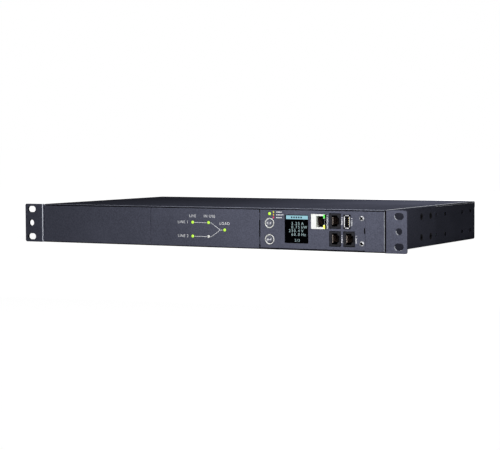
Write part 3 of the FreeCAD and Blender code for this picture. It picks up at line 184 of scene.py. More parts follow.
def glow(colour, level):
    return {"Emission_Color": rgba(colour), "Emission_Strength": level}


# The broad mottle below each pattern: its width beside the pattern's, and its share in the tone
BROAD = 40
BROAD_SHARE = 0.5
TONE_START, TONE_END = 0.3, 1.2


def finish(name, dark, light, grain, lift, rough, stretch=(1.0, 1.0, 1.0), texture="ShaderNodeTexNoise",
           **plain):
    """Material whose tone, roughness and relief follow one pattern: grain is its width and lift
    its height, in millimetres."""
    made = bpy.data.materials.new(name)
    made.use_nodes = True
    tree = made.node_tree
    shader = tree.nodes["Principled BSDF"]
    for socket, value in plain.items():
        shader.inputs[socket.replace("_", " ")].default_value = value
    place = put(tree, "ShaderNodeTexCoord")["Object"]
    laid = put(tree, "ShaderNodeMapping", {"Vector": place, "Scale": stretch})["Vector"]
    scale = 1 / (grain * MM)
    fine = put(tree, texture, {"Vector": laid, "Scale": scale})[0]
    broad = put(tree, "ShaderNodeTexNoise", {"Vector": laid, "Scale": scale / BROAD})[0]
    share = put(tree, "ShaderNodeMath", {0: broad, 1: BROAD_SHARE, 2: fine}, operation="MULTIPLY_ADD")[0]
    factor = put(tree, "ShaderNodeMapRange",
                 {"Value": share, "From Min": TONE_START, "From Max": TONE_END})[0]
    tone = put(tree, "ShaderNodeMix", {0: factor, 6: rgba(dark), 7: rgba(light)}, data_type="RGBA")[2]
    gloss = put(tree, "ShaderNodeMapRange", {"Value": fine, "To Min": rough[0], "To Max": rough[1]})[0]
    relief = put(tree, "ShaderNodeBump", {"Height": fine, "Distance": lift * MM})["Normal"]
    for socket, source in (("Base Color", tone), ("Roughness", gloss), ("Normal", relief)):
        tree.links.new(source, shader.inputs[socket])
    return made


# Finishes of fixed tone: name, darkest and lightest tone, width and height of the pattern in
# millimetres, range of roughness, and what else the pattern and the shader take
CELLS = "ShaderNodeTexVoronoi"
DRAWN = (1.0, 4.0, 1.0)
DULL = {"Specular_IOR_Level": 0.02}
SOFT = {"Specular_IOR_Level": 0.1}
SURFACES = {
    # Painted highlight on cut edges, folds and the walls of punched holes, where light catches them
    "thin_coat": ("Thin coat on zinc", "#a9adb8", "#cfd2da", 0.5, 0.01, (0.4, 0.55), {"Metallic": 0.15}),
    # Painted highlight along the cover's front edge, where light catches its rounding
    "worn_coat": ("Rubbed powder coat", "#7d808b", "#979aa5", 0.8, 0.01, (0.5, 0.65), SOFT),
    # Steel blackened in a bath: dark, with a faint oily gloss. The same black is painted shade on hole
    # walls, openings, cut ends and folds of the coated sheet
    "black_steel": ("Blackened steel", "#0c0c0f", "#17171b", 0.8, 0.01, (0.6, 0.75), DULL),
    # Nickel plate on turned steel: bright, with the turning marks drawn out along one way
    "nickel": ("Nickel-plated steel", "#9c9da0", "#b8b9bc", 0.6, 0.01, (0.35, 0.5),
               {"stretch": (1.0, 1.0, 4.0), "Metallic": 1.0}),
    # Zinc-plated steel sheet: cool grey with the small scales that the plating leaves
    "zinc": ("Zinc-plated steel", "#8f9498", "#b3b7ba", 3.0, 0.01, (0.3, 0.45),
             {"texture": CELLS, "Metallic": 1.0}),
    # Glass-fibre laminate under green lacquer: the weave shows faintly through
    "laminate": ("Glass-fibre laminate", "#123d22", "#1d5a33", 0.9, 0.01, (0.25, 0.4),
                 {"texture": CELLS, "Coat_Weight": 0.3}),
    # Polycarbonate moulded in a spark-eroded tool: black with a fine dry grain
    "black_plastic": ("Moulded polycarbonate", "#18181c", "#242429", 0.7, 0.015, (0.5, 0.65), SOFT),
    # Black strips of painted shade, laid in the joints where shadow falls
    "foam": ("Black foam tape", "#050506", "#0d0d0f", 0.6, 0.1, (0.85, 0.95),
             {"texture": CELLS, **DULL}),
    # Painted shade: the polycarbonate darker in the depths of sockets, in cross recesses and in the bus
    # socket, where no light reaches
    "socket_dark": ("Moulded polycarbonate, deep", "#08080a", "#0e0e10", 0.7, 0.01, (0.6, 0.75), DULL),
    # Polyester resin moulded in white: smooth with a soft gloss
    "white_plastic": ("Moulded white polyester", "#d5d6d4", "#dfe0dd", 1.2, 0.005, (0.35, 0.45), {}),
    # Acrylic over a filled black mask: deep and glossy. The same black is painted shade beside the white
    # jack
    "glass": ("Black acrylic", "#010101", "#030304", 6.0, 0.001, (0.2, 0.3),
              {"Specular_IOR_Level": 0.0}),
    # Phosphor bronze with a gold flash: warm and bright, part of it too rough to mirror
    "gold": ("Gold-flashed bronze", "#e0cf90", "#fbeebc", 0.4, 0.005, (0.3, 0.45),
             {"stretch": DRAWN, "Metallic": 0.3}),
    # Bronze tinned bright
    "bright_tin": ("Bright tinned bronze", "#6e6f72", "#98999c", 0.4, 0.005, (0.35, 0.5),
                   {"stretch": DRAWN, "Metallic": 0.6}),
    # Tinned bronze with a duller skin
    "dull_bronze": ("Tinned bronze", "#a0938b", "#c4b6ad", 0.4, 0.005, (0.35, 0.5),
                    {"stretch": DRAWN, "Metallic": 0.3}),
    # The far ends of contact wires, painted dark as shade where they lie out of the light
    "deep_bronze": ("Tarnished bronze", "#3a2f2b", "#4a3d37", 0.4, 0.005, (0.5, 0.65),
                    {"stretch": DRAWN, **DULL}),
    # Stamped brass strip: rolled lines along its length
    "brass": ("Rolled brass", "#9c7a38", "#c6a455", 0.8, 0.01, (0.25, 0.4),
              {"stretch": (0.15, 1.0, 1.0), "Metallic": 1.0}),
    # Epoxy dip over a ceramic disc: glossy and slightly uneven
    "blue_epoxy": ("Blue epoxy", "#1b3f7d", "#27539a", 2.0, 0.05, (0.2, 0.35), {}),
    # Acrylic lamp cover with a frosted face: white and soft while the lamp is off
    "frosted": ("Frosted acrylic", "#cfd0cc", "#e2e3df", 0.6, 0.01, (0.4, 0.5), {}),
    # Tinted acrylic with the light behind it
    "green_light": ("Lit green acrylic", "#145c14", "#1a6e1a", 0.6, 0.005, (0.2, 0.3),
                    glow(linear("#4fe54a"), 1.0)),
    "yellow_light": ("Lit yellow acrylic", "#5c5a10", "#6e6c16", 0.6, 0.005, (0.2, 0.3),
                     glow(linear("#e6f050"), 1.5)),
}
INKS = {"yellow_ink": "#e6e436", "orange_ink": "#e8b62a", "red_ink": "#fa1c5a"}
THIN_INK = 0.85

finishes = {}


def make_finishes(context):
    case = context.scene.rack_case
    lamps = context.scene.rack_lamps
    made = finishes
    for key, (name, dark, light, grain, lift, rough, more) in SURFACES.items():
        made[key] = finish(name, linear(dark), linear(light), grain, lift, rough, **more)
    # Polyester powder coat, sprayed and baked: a dull skin with a fine orange-peel relief, drawn
    # at twice its real width so that it shows
    made["coat"] = finish("Powder coat", case.coat_dark, case.coat_light, case.coat_grain / MM, 0.03,
                          (0.75, 0.9), Specular_IOR_Level=0.0)
    # Key caps moulded in the coat's own tone
    made["key_plastic"] = finish("Moulded ABS", case.coat_dark, case.coat_light, 0.5, 0.01, (0.45, 0.6),
                                 Specular_IOR_Level=0.3)
    # Clear acrylic lamp covers with the light behind them
    made["lit"] = finish("Lit acrylic", linear("#5c7a1c"), linear("#6c8c24"), 0.6, 0.005, (0.15, 0.25),
                         **glow(lamps.lit, lamps.lit_level))
    # Screen-printed ink: flat, with the slight mottle of the mesh
    inks = {name: linear(code) for name, code in INKS.items()}
    inks["white_ink"] = context.scene.rack_print.ink
    for name, tone in inks.items():
        thin = [THIN_INK * c for c in tone]
        made[name] = finish(name.replace("_", " ").capitalize(), thin, tone, 0.4, 0.002, (0.5, 0.65))
    # Lit cells of the display: dark glass that shines in the colour of its figures or its bar
    for name, lit in (("screen_ink", lamps.screen_ink), ("screen_bar", lamps.screen_bar)):
        made[name] = finish(name.replace("_", " ").capitalize(), linear("#10181a"), linear("#141e20"),
                            0.4, 0.002, (0.4, 0.5), **glow(lit, lamps.screen_level))


def assign(material, *nodes):
    """Gives CAD nodes a material in place of the one that they came with."""
    for node in nodes:
        slots = frame["nodes"][node].data.materials
        slots.clear()
        slots.append(finishes[material])


# Shapes

def placed(name, data):
    """New object in the scene."""
    item = bpy.data.objects.new(name, data)
    bpy.context.scene.collection.objects.link(item)
    return item


def add_piece(name, mesh, body, slot, *replaced):
    """Adds a finished mesh that rides on a body and stands for the CAD nodes named."""
    piece = placed(name, mesh)
    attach(piece, body)
    if replaced:
        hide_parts(*replaced)
    return piece


def to_mesh(shape, name, *materials):
    """Plain mesh of a bmesh, with its faces turned outwards."""
    bmesh.ops.recalc_face_normals(shape, faces=shape.faces)
    mesh = bpy.data.meshes.new(name)
    shape.to_mesh(mesh)
    shape.free()
    for material in materials:
        mesh.materials.append(finishes[material])
    return mesh


def lay(name, shape, material, slot, body="unit"):
    """Adds a printed or stuck-on piece that stands for no CAD node."""
    return add_piece(name, to_mesh(shape, name, material), body, slot)


def settle(name, data, *modifiers):
    """Plain mesh of some data with modifiers carried out; each is a kind and its settings."""
    carrier = placed(name, data)
    for kind, settings in modifiers:
        modifier = carrier.modifiers.new(kind, kind)
        for key, value in settings.items():
            if key == "inputs":
                for identifier, given in value.items():
                    modifier[identifier] = given
            else:
                setattr(modifier, key, value)
    graph = bpy.context.evaluated_depsgraph_get()
    result = bpy.data.meshes.new_from_object(carrier.evaluated_get(graph))
    bpy.data.objects.remove(carrier)
    result.name = name
    return result


def cut_from(mesh, tool):
    """Mesh with another one cut out of it; the faces that this leaves keep the tool's material."""
    cutter = placed("cutter", tool)
    cut = ("BOOLEAN",
           {"operation": "DIFFERENCE", "solver": "EXACT", "material_mode": "TRANSFER", "object": cutter})
    result = settle(mesh.name, mesh, cut)
    bpy.data.objects.remove(cutter)
    return result


def rounded_copy(node, edge, slot, *materials, pick=None, split=None, tool=None):
    """Copy of a CAD node with its cut edges rounded. Pick gives the number of a face's material,
    split parts the faces at one depth first, and a tool is a mesh that is cut out before that."""
    shape = bmesh.new()
    shape.from_mesh(frame["nodes"][node].data)
    bmesh.ops.remove_doubles(shape, verts=shape.verts, dist=WELD)
    if tool:
        carved = cut_from(to_mesh(shape, node), tool)
        shape = bmesh.new()
        shape.from_mesh(carved)
    bmesh.ops.dissolve_limit(shape, angle_limit=FLAT, verts=shape.verts, edges=shape.edges,
                             delimit={"NORMAL"})
    if tool:
        bmesh.ops.connect_verts_concave(shape, faces=shape.faces)
    if split:
        everything = shape.verts[:] + shape.edges[:] + shape.faces[:]
        bmesh.ops.bisect_plane(shape, geom=everything, plane_co=(0, split, 0), plane_no=(0, 1, 0))
    sharp = [e for e in shape.edges if e.calc_face_angle(0.0) > CORNER]
    bmesh.ops.bevel(shape, geom=sharp, offset=edge, segments=2, profile=0.5, affect="EDGES")
    for face in shape.faces:
        face.smooth = True
        face.material_index = int(pick(face.calc_center_median(), face.normal)) if pick else 0
    mesh = to_mesh(shape, node + "_rounded", *materials)
    mesh.set_sharp_from_angle(angle=CORNER)
    weighted = ("WEIGHTED_NORMAL", {"keep_sharp": True, "mode": "FACE_AREA"})
    return add_piece(node + "_rounded", settle(node, mesh, weighted), "unit", slot, node)


def solids(node):
    """Lowest and highest corner of each separate solid of a CAD node."""
    shape = bmesh.new()
    shape.from_mesh(frame["nodes"][node].data)
    bmesh.ops.remove_doubles(shape, verts=shape.verts, dist=WELD)
    waiting = set(shape.verts)
    boxes = []
    while waiting:
        reached = [waiting.pop()]
        for vert in reached:
            for edge in vert.link_edges:
                other = edge.other_vert(vert)
                if other in waiting:
                    waiting.remove(other)
                    reached.append(other)
        ends = [(min(v.co[i] for v in reached), max(v.co[i] for v in reached)) for i in range(3)]
        boxes.append((Vector([e[0] for e in ends]), Vector([e[1] for e in ends])))
    shape.free()
    return sorted(boxes, key=lambda b: tuple(round(c, 5) for c in b[0]))


def sides(node):
    """Left, right, lower and upper side of a CAD node seen from the front, in millimetres."""
    low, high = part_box(node)
    return [v / MM for v in (low.x, high.x, low.z, high.z)]


def middle_of(low, high, depth):
    """Middle of a box seen from the front, at a given depth."""
    return Vector(((low.x + high.x) / 2, depth, (low.z + high.z) / 2))


def rim_of(point, low, high):
    """Distance from a point to the nearest side of a box seen from the front."""
    return min(point.x - low.x, high.x - point.x, point.z - low.z, high.z - point.z)


def turned(name, profile, steps=40, hollow=False):
    """Closed mesh turned about Z from (radius, height) pairs in millimetres, from axis to axis. A
    hollow one is a ring, and its profile is a closed loop that stays clear of the axis."""
    shape = bmesh.new()
    rings = []
    for radius, height in profile:
        count = steps if radius > 0 else 1
        angles = [math.tau * i / steps for i in range(count)]
        rings.append([shape.verts.new((radius * MM * math.cos(a), radius * MM * math.sin(a),
                                       height * MM)) for a in angles])
    following = rings[1:] + rings[:1] if hollow else rings[1:]
    for near, far in zip(rings, following):
        for i in range(steps):
            j = (i + 1) % steps
            corners = [near[i % len(near)], near[j % len(near)], far[j % len(far)], far[i % len(far)]]
            shape.faces.new(list(dict.fromkeys(corners))).smooth = True
    mesh = to_mesh(shape, name)
    mesh.set_sharp_from_angle(angle=CORNER)
    return mesh


def led_down(profile, depth):
    """Profile led straight down to a flat end."""
    return [*profile, (profile[-1][0], -depth), (0, -depth)]


def cross_cutter(span, width, depth):
    """Tapered cross that a driver's recess is cut with, sunk from height 0."""
    shape = bmesh.new()
    half, arm = span / 2, width / 2
    loop = [(arm, half), (arm, arm), (half, arm), (half, -arm), (arm, -arm), (arm, -half)]
    loop += [(-x, -y) for x, y in loop]
    levels = ((depth, 1.5), (-depth, 0.5))
    rings = [[shape.verts.new((x * scale, y * scale, z)) for x, y in loop] for z, scale in levels]
    for i in range(len(loop)):
        j = (i + 1) % len(loop)
        shape.faces.new([rings[0][i], rings[0][j], rings[1][j], rings[1][i]])
    for ring in rings:
        shape.faces.new(ring)
    return to_mesh(shape, "cross cutter")


def recessed(mesh, case, top):
    """Screw with a cross recess sunk into the top of its head, whose walls are painted dark as shade."""
    tool = cross_cutter(case.recess_span, case.recess_width, case.recess_depth)
    tool.transform(Matrix.Translation((0, 0, top)))
    mesh.materials.append(finishes["nickel"])
    tool.materials.append(finishes["socket_dark"])
    result = cut_from(mesh, tool)
    marks = result.attributes.new("recess", "BOOLEAN", "FACE")
    for face in result.polygons:
        marks.data[face.index].value = face.material_index == 1
    return result


def setting_tree():
    """Geometry nodes that set a copy of a pattern on each point, along the point's own axis and
    freely turned."""
    tree = bpy.data.node_groups.new("Set Along Axis", "GeometryNodeTree")
    sockets = (("Geometry", "Geometry"), ("Pattern", "Object"), ("Turn", "Float"), ("Seed", "Int"),
               ("Material", "Material"), ("Recess Material", "Material"))
    for name, kind in sockets:
        tree.interface.new_socket(name, in_out="INPUT", socket_type="NodeSocket" + kind)
    tree.interface.new_socket("Geometry", in_out="OUTPUT", socket_type="NodeSocketGeometry")
    given = put(tree, "NodeGroupInput")
    axis = put(tree, "GeometryNodeInputNamedAttribute", {"Name": "axis"}, data_type="FLOAT_VECTOR")[0]
    facing = put(tree, "FunctionNodeAlignRotationToVector", {"Vector": axis}, axis="Z")[0]
    angle = put(tree, "FunctionNodeRandomValue", {3: given["Turn"], 8: given["Seed"]},
                data_type="FLOAT")[1]
    spin = put(tree, "FunctionNodeAxisAngleToRotation", {"Axis": (0, 0, 1), "Angle": angle})[0]
    turn = put(tree, "FunctionNodeRotateRotation", {0: facing, 1: spin}, rotation_space="LOCAL")[0]
    pattern = put(tree, "GeometryNodeObjectInfo", {"Object": given["Pattern"]})["Geometry"]
    laid = put(tree, "GeometryNodeInstanceOnPoints",
               {"Points": given["Geometry"], "Instance": pattern, "Rotation": turn})[0]
    real = put(tree, "GeometryNodeRealizeInstances", {"Geometry": laid})[0]
    coated = put(tree, "GeometryNodeSetMaterial", {"Geometry": real, "Material": given["Material"]})[0]
    # The recess faces take a dark material as painted shade
    sunk = put(tree, "GeometryNodeInputNamedAttribute", {"Name": "recess"}, data_type="BOOLEAN")[0]
    coated = put(tree, "GeometryNodeSetMaterial",
                 {"Geometry": coated, "Selection": sunk, "Material": given["Recess Material"]})[0]
    put(tree, "NodeGroupOutput", {"Geometry": coated})
    return tree


def set_along(name, node, pattern, places, material, slot, body="unit", turn=0.0, seed=0):
    """Adds a piece with one copy of the pattern mesh for each (point, axis) pair."""
    tree = bpy.data.node_groups.get("Set Along Axis") or setting_tree()
    points = bpy.data.meshes.new(name)
    points.from_pydata([point for point, axis in places], [], [])
    axes = points.attributes.new("axis", "FLOAT_VECTOR", "POINT")
    for item, (point, axis) in zip(axes.data, places):
        item.vector = axis
    model = placed("pattern", pattern)
    values = {"Pattern": model, "Turn": turn, "Seed": seed, "Material": finishes[material],
              "Recess Material": finishes["socket_dark"]}
    inputs = {s.identifier: values[s.name] for s in tree.interface.items_tree
              if s.in_out == "INPUT" and s.name in values}
    mesh = settle(name, points, ("NODES", {"node_group": tree, "inputs": inputs}))
    bpy.data.objects.remove(model)
    add_piece(name, mesh, body, slot, node)


def plate(shape, corners, front, film):
    """Adds a flat shape that stands out by a film: corners are (X, Z) pairs in millimetres."""
    near = [shape.verts.new((x * MM, front - film, z * MM)) for x, z in corners]
    far = [shape.verts.new((x * MM, front, z * MM)) for x, z in corners]
    shape.faces.new(near)
    shape.faces.new(far[::-1])
    for i in range(len(corners)):
        j = (i + 1) % len(corners)
        shape.faces.new([near[i], far[i], far[j], near[j]])


def stroke(shape, path, width, front, film):
    """Adds a printed line along (X, Z) points in millimetres, mitred at its bends."""
    points = [Vector(p) for p in path]
    ways = [(b - a).normalized() for a, b in zip(points, points[1:])]
    ways = [ways[0]] + ways + [ways[-1]]
    left, right = [], []
    shortest = 0.3
    for point, before, after in zip(points, ways, ways[1:]):
        way = (before + after).normalized()
        reach = width / 2 / max(way.dot(after), shortest)
        side = Vector((-way.y, way.x)) * reach
        left.append(point + side)
        right.append(point - side)
    plate(shape, [tuple(p) for p in left + right[::-1]], front, film)


def block(shape, x, z, front, film):
    """Adds a flat rectangle from the ends of its sides in millimetres."""
    plate(shape, [(x[0], z[0]), (x[1], z[0]), (x[1], z[1]), (x[0], z[1])], front, film)


def films(name, blocks, front, film, material, slot):
    """Adds a piece made of such rectangles."""
    shape = bmesh.new()
    for x, z in blocks:
        block(shape, x, z, front, film)
    lay(name, shape, material, slot)


def lifted(film, order, step=0.2):
    """Film of a stroke that lies a little higher than those before it, so that no two faces share
    a plane where they cross."""
    return film * (1 + step * order)


def figures(shape, words, height, x, z, front, film, align="CENTER", turn=0.0, spread=1.15, bold=0.0):
    """Adds figures that face the front, centred on height z, with x and z in millimetres."""
    curve = bpy.data.curves.new("figures", "FONT")
    curve.body = words
    curve.size = height
    curve.align_x = align
    curve.align_y = "CENTER"
    curve.resolution_u = 4
    curve.space_character = spread
    curve.offset = bold
    curve.extrude = film / 2
    mesh = settle("figures", curve)
    upright = Matrix.Rotation(math.radians(90), 4, "X") @ Matrix.Rotation(turn, 4, "Z")
    mesh.transform(Matrix.Translation((x * MM, front - film / 2, z * MM)) @ upright)
    shape.from_mesh(mesh)
    bpy.data.meshes.remove(mesh)
    bmesh.ops.remove_doubles(shape, verts=shape.verts, dist=WELD)


# Operators

# Parts of an ear: its outer edge, its sheet, its bend and the fold beside the case
EAR_EDGE, EAR_SHEET, EAR_BEND, EAR_FOLD = 1.0 * MM, 2.2 * MM, 3.0 * MM, 4.0 * MM


def coat_tray(case):
    low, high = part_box("chassis_tray")
    sheet, ear_end, rear_fold, fold = 1.5 * MM, 20.0 * MM, 5.0 * MM, 4.0 * MM

    def shaded_hole_wall(point, normal):
        """Walls of the threaded holes in the sides behind the ears, painted black as shade."""
        side = high.x - abs(point.x) < sheet and abs(normal.x) < 0.9
        clear = ear_end < point.y < high.y - rear_fold
        return side and clear and low.z + fold < point.z < high.z - fold

    rounded_copy("chassis_tray", case.edge, "powder_coat", "coat", "black_steel", pick=shaded_hole_wall)


def coat_cover(case):
    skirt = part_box("top_cover")[1].z - 2.0 * MM

    def rim(point, normal):
        """Painted highlights on the right edge and the front edge of the roof."""
        right = 0.3 < normal.x < 0.95
        front = normal.y < -0.8 and 0.2 < normal.z < 0.6
        if point.z < skirt:
            return 0
        return 1 if right else 2 * front

    rounded_copy("top_cover", case.bright_edge, "powder_coat", "coat", "thin_coat", "worn_coat",
                 pick=rim)


def raise_foot(case, verts):
    """Lifts a front plate's lower edge, so that the strip of painted shade below it shows."""
    foot = min(vert.co.z for vert in verts) + 2.0 * MM
    for vert in verts:
        if vert.co.z < foot:
            vert.co.z += case.foot


def coat_plates(case):
    edge = 0.5 * MM
    for node in ("blank_fascia", "status_fascia"):
        copy = rounded_copy(node, case.edge, "powder_coat", "coat")
        raise_foot(case, copy.data.vertices)
    low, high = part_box("control_plate")

    def opening(point, normal):
        """Walls and edges of the openings, painted black as shade."""
        return rim_of(point, low, high) > edge and abs(normal.y) < 0.98

    rounded_copy("control_plate", case.joint_edge, "powder_coat", "coat", "black_steel", pick=opening)
    start, end = (corner.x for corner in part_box("right_fascia"))

    def lit_and_shaded_right_end(point, normal):
        """Painted highlight on the bevel of the plate's right end, and painted shade on its cut face."""
        if point.x < end - edge or normal.x < 0.3:
            return 0
        return 1 if normal.x < 0.95 else 2

    copy = rounded_copy("right_fascia", case.joint_edge, "powder_coat", "coat", "thin_coat",
                        "black_steel", pick=lit_and_shaded_right_end)
    # The plate is pushed up against the module and the ear, so that their joints all but close
    for vert in copy.data.vertices:
        if vert.co.x < start + edge:
            vert.co.x -= case.push_left
        elif vert.co.x > end - edge:
            vert.co.x += case.push_right
    raise_foot(case, copy.data.vertices)


def coat_ears(case):
    for node in ("left_rack_ear", "right_rack_ear"):
        low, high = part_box(node)
        root = min(low.x, high.x, key=abs)

        def ear_light_and_shade(point, normal, low=low, high=high, root=root):
            """Right ear: painted highlight on the lower left walls of the holes, painted shade on the
            fold.
            Left ear: painted highlight on the fold, painted shade on the walls of the holes."""
            if point.y > low.y + EAR_BEND:
                return 0
            inside = rim_of(point, low, high) > EAR_EDGE
            wall = inside and abs(normal.y) < 0.5 and point.y < low.y + EAR_SHEET
            if root > 0:
                fold = normal.x < -0.15 and point.x < root + EAR_FOLD
                lower_left = wall and normal.x > 0.25 and normal.z > -0.2
                return 2 if fold else int(lower_left)
            if point.x > root - EAR_FOLD:
                return int(0.55 < normal.x < 0.75)
            return 2 if wall else 0

        ear = rounded_copy(node, case.edge, "powder_coat", "coat", "thin_coat", "black_steel", pick=ear_light_and_shade)
        ease_holes(ear.data.vertices, low, high)


def ease_holes(verts, low, high):
    """Right ear: the two lower holes sit a little higher. Left ear: the slots end further in,
    and the punch has drawn in their far rim on one side."""
    height = (low.z + high.z) / 2
    column = low.x + 8.75 * MM
    fold, slot_rise, waist, far = 224.0 * MM, 8.0 * MM, 1.0 * MM, low.y + 1.0 * MM
    # How far a round hole and a slot go up, a slot's end goes in, and the rims of both go in
    raised, ended, drawn = (0.5 * MM, 0.8 * MM), 0.9 * MM, (0.3 * MM, 0.6 * MM)
    for vert in verts:
        spot = vert.co
        flat = spot.y <= low.y + EAR_SHEET and abs(spot.x) >= fold
        if not flat or rim_of(spot, low, high) < EAR_EDGE:
            continue
        rise = spot.z - height
        slot = abs(rise) > slot_rise
        if low.x > 0:
            if rise < slot_rise:
                spot.z += raised[slot]
        elif slot and spot.x > column + waist:
            spot.x += ended
        elif spot.x < column - waist and spot.y > far:
            spot.x += drawn[slot]


def shade_joints(case):
    """Black strips of painted shade behind the cover's front edge, under the control module and the
    front plates.
    """
    start, _, foot, top = sides("blank_fascia")
    right_start, end, _, _ = sides("right_fascia")
    left, right, floor, _ = sides("control_plate")
    roof = sides("top_cover")[3]
    behind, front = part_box("top_cover")[0].y + 2.4 * MM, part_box("chassis_tray")[0].y
    strip, lip, height = 1.2 * MM, 2.0, (foot - 0.1, foot + case.foot / MM)
    for name, depth, film, blocks in (
        ("front_seal", behind, 2.0 * MM, [((start + lip, end - lip), (top, roof - 1.0))]),
        ("module_seal", front, strip, [((left + 2.8, right - 0.2), (floor - 0.9, floor))]),
        ("plate_seal", front, strip, [((start, left + lip), height), ((right_start, end), height)]),
    ):
        films(name, blocks, depth, film, "foam", "black_plastic")


class RACKUNIT_OT_coat_case(bpy.types.Operator):
    """Coat the case, the ears and the front plates, and round their cut edges"""

    bl_idname = "rack_unit.coat_case"
    bl_label = "Coat Case"

    def execute(self, context):
        make_finishes(context)
        case = context.scene.rack_case
        rounded_copy("rear_panel", case.edge, "powder_coat", "coat")
        coat_tray(case)
        coat_cover(case)
        coat_plates(case)
        coat_ears(case)
        shade_joints(case)
        return {"FINISHED"}


class RACKUNIT_OT_finish_inside(bpy.types.Operator):
    """Finish the circuit boards and the parts on them"""

    bl_idname = "rack_unit.finish_inside"
    bl_label = "Finish Inside"

    def execute(self, context):
        assign("laminate", "main_board", "status_board", "control_board")
        assign("zinc", "board_posts", "main_standoffs", "board_screws")
        assign("black_steel", "module_bracket")
        assign("black_plastic", "display_panel", "display_frame", "key_switches", "module_plug",
               "backplane_socket", "status_link", "transfer_relays", "current_transformer",
               "supply_blocks")
        assign("brass", "line_bus", "neutral_bus", "earth_bus")
        assign("blue_epoxy", "surge_discs")
        return {"FINISHED"}


# Profiles as radius and height from the seat of a pan head and from the top of a flat one
PAN = ((0, 1.4), (1.2, 1.36), (1.95, 1.2), (2.45, 0.9), (2.75, 0.5), (2.8, 0.25), (2.8, 0), (1.5, 0),
       (1.5, -4.7), (1.2, -5), (0, -5))
FLAT_HEAD = ((0, 0), (3.5, 0), (3.7, -0.1), (3.7, -0.2), (2, -1.8), (2, -4.2), (1.7, -4.5), (0, -4.5))
# CAD node, profile, way that the head faces, material and slot; ear screws face outwards
GROUPS = (
    ("module_screws", PAN, FRONT, "nickel", "nickel_screws"),
    ("cover_screws", PAN, REAR, "black_steel", "black_screws"),
    ("inlet_screws", FLAT_HEAD, REAR, "black_steel", "black_screws"),
    ("ear_screws", FLAT_HEAD, None, "black_steel", "black_screws"),
)


class RACKUNIT_OT_set_screws(bpy.types.Operator):
    """Set the screws of the module, the ears, the cover and the inlets, with cross recesses"""

    bl_idname = "rack_unit.set_screws"
    bl_label = "Set Screws"

    def execute(self, context):
        case = context.scene.rack_case
        for node, profile, outward, material, slot in GROUPS:
            head = profile[0][1] * MM
            places = []
            for low, high in solids(node):
                middle, half = (low + high) / 2, (high - low) / 2
                axis = outward or Vector((math.copysign(1, middle.x), 0, 0))
                top = middle + axis * half
                places.append((top - axis * head, axis))
            pattern = recessed(turned(node, profile), case, head)
            set_along(node + "_set", node, pattern, places, material, slot, turn=math.pi / 2,
                      seed=case.turn_seed)
        return {"FINISHED"}


# Outline of a dome as radius and share of its rise, and the collar behind the plate
DOME = ((0, 1), (0.6, 0.92), (1.1, 0.68), (1.45, 0.32), (1.6, 0))
COLLAR = ((1.6, -1.6), (2.6, -1.6))
LENSES = (("lit_lenses", "lit", "lit_lens"), ("unlit_lens", "frosted", "white_lens"),
          ("device_lens", "lit", "lit_lens"))


class RACKUNIT_OT_set_lamps(bpy.types.Operator):
    """Set domed covers on the lamps"""

    bl_idname = "rack_unit.set_lamps"
    bl_label = "Set Lamps"

    def execute(self, context):
        rise = context.scene.rack_lamps.dome / MM
        for node, material, slot in LENSES:
            boxes = solids(node)
            depth = (boxes[0][1].y - FACE) / MM
            profile = [(radius, share * rise) for radius, share in DOME]
            lens = turned(node, led_down([*profile, *COLLAR], depth))
            places = [(middle_of(low, high, FACE), FRONT) for low, high in boxes]
            set_along(node + "_domed", node, lens, places, material, slot)
        return {"FINISHED"}


# Profiles as radius and height from the front, and signs as (X, Z) points from the middle
RING = ((4.7, -0.3), (4.78, -0.05), (4.9, 0), (5.2, 0), (5.35, -0.05), (5.45, -0.2), (5.45, -1.7),
        (6.5, -1.7), (6.5, -2.7), (5.6, -2.7), (5.6, -4.6), (4.2, -4.6), (4.2, -1.2), (4.7, -1.0))
CAP = ((0, 0), (3.3, 0), (3.6, -0.06), (3.85, -0.2), (3.95, -0.5), (3.95, -5.5), (5, -5.5), (5, -6.5),
       (2, -6.5))
SIGNS = {
    "select": (((-1.1, 1.2), (-2.5, 0), (-1.1, -1.2)), ((1.1, 1.2), (2.5, 0), (1.1, -1.2)),
               ((-0.5, 0), (0.5, 0))),
    "enter": (((2.3, 1.3), (2.3, -0.3), (-2.2, -0.3)),
              ((-1.1, 0.8), (-2.4, -0.3), (-1.1, -1.4))),
}
SIGN_LINE = 0.55


class RACKUNIT_OT_fit_keys(bpy.types.Operator):
    """Fit the two keys, the rings around them and the signs on their caps"""

    bl_idname = "rack_unit.fit_keys"
    bl_label = "Fit Keys"

    def execute(self, context):
        film = context.scene.rack_print.film
        places = [(middle_of(low, high, low.y), FRONT) for low, high in solids("button_bezels")]
        ring = turned("ring", RING, steps=48, hollow=True)
        set_along("key_rings", "button_bezels", ring, places, "white_plastic", "white_plastic")
        for name, strokes in SIGNS.items():
            low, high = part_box(name + "_button")
            depth = (high.y - low.y) / MM
            middle = middle_of(low, high, low.y)
            set_along(name + "_cap", name + "_button", turned(name, led_down(CAP, depth)),
                      [(middle, FRONT)], "key_plastic", "grey_keys", name + "_key")
            shape = bmesh.new()
            for order, path in enumerate(strokes):
                spots = [(middle.x / MM + x, middle.z / MM + z) for x, z in path]
                stroke(shape, spots, SIGN_LINE, low.y, lifted(film, order))
            lay(name + "_sign", shape, "white_ink", "white_plastic", name + "_key")
        return {"FINISHED"}


# Millimetres from the display's top left corner, and sizes of figures
GLASS_EDGE = 0.15 * MM
BAR_CELLS, CELL_START, CELL_PITCH, CELL_WIDTH = 5, 6.6, 2.8, 1.6
ROWS = (("3.25", "A"), ("0.75", "kW"), ("230.4", "V"), ("60.0", "Hz"))
ROW_START, ROW_PITCH, ROW_SIZE = 9.0, 3.85, 4.3 * MM
# Where the values end and the units start, and how wide they are set
COLUMNS = ((16.9, "RIGHT", 1.4), (18.6, "LEFT", 1.2))
PAGE_SIZE, PAGE_X, PAGE_RISE = 4.0 * MM, 13.9, 2.6


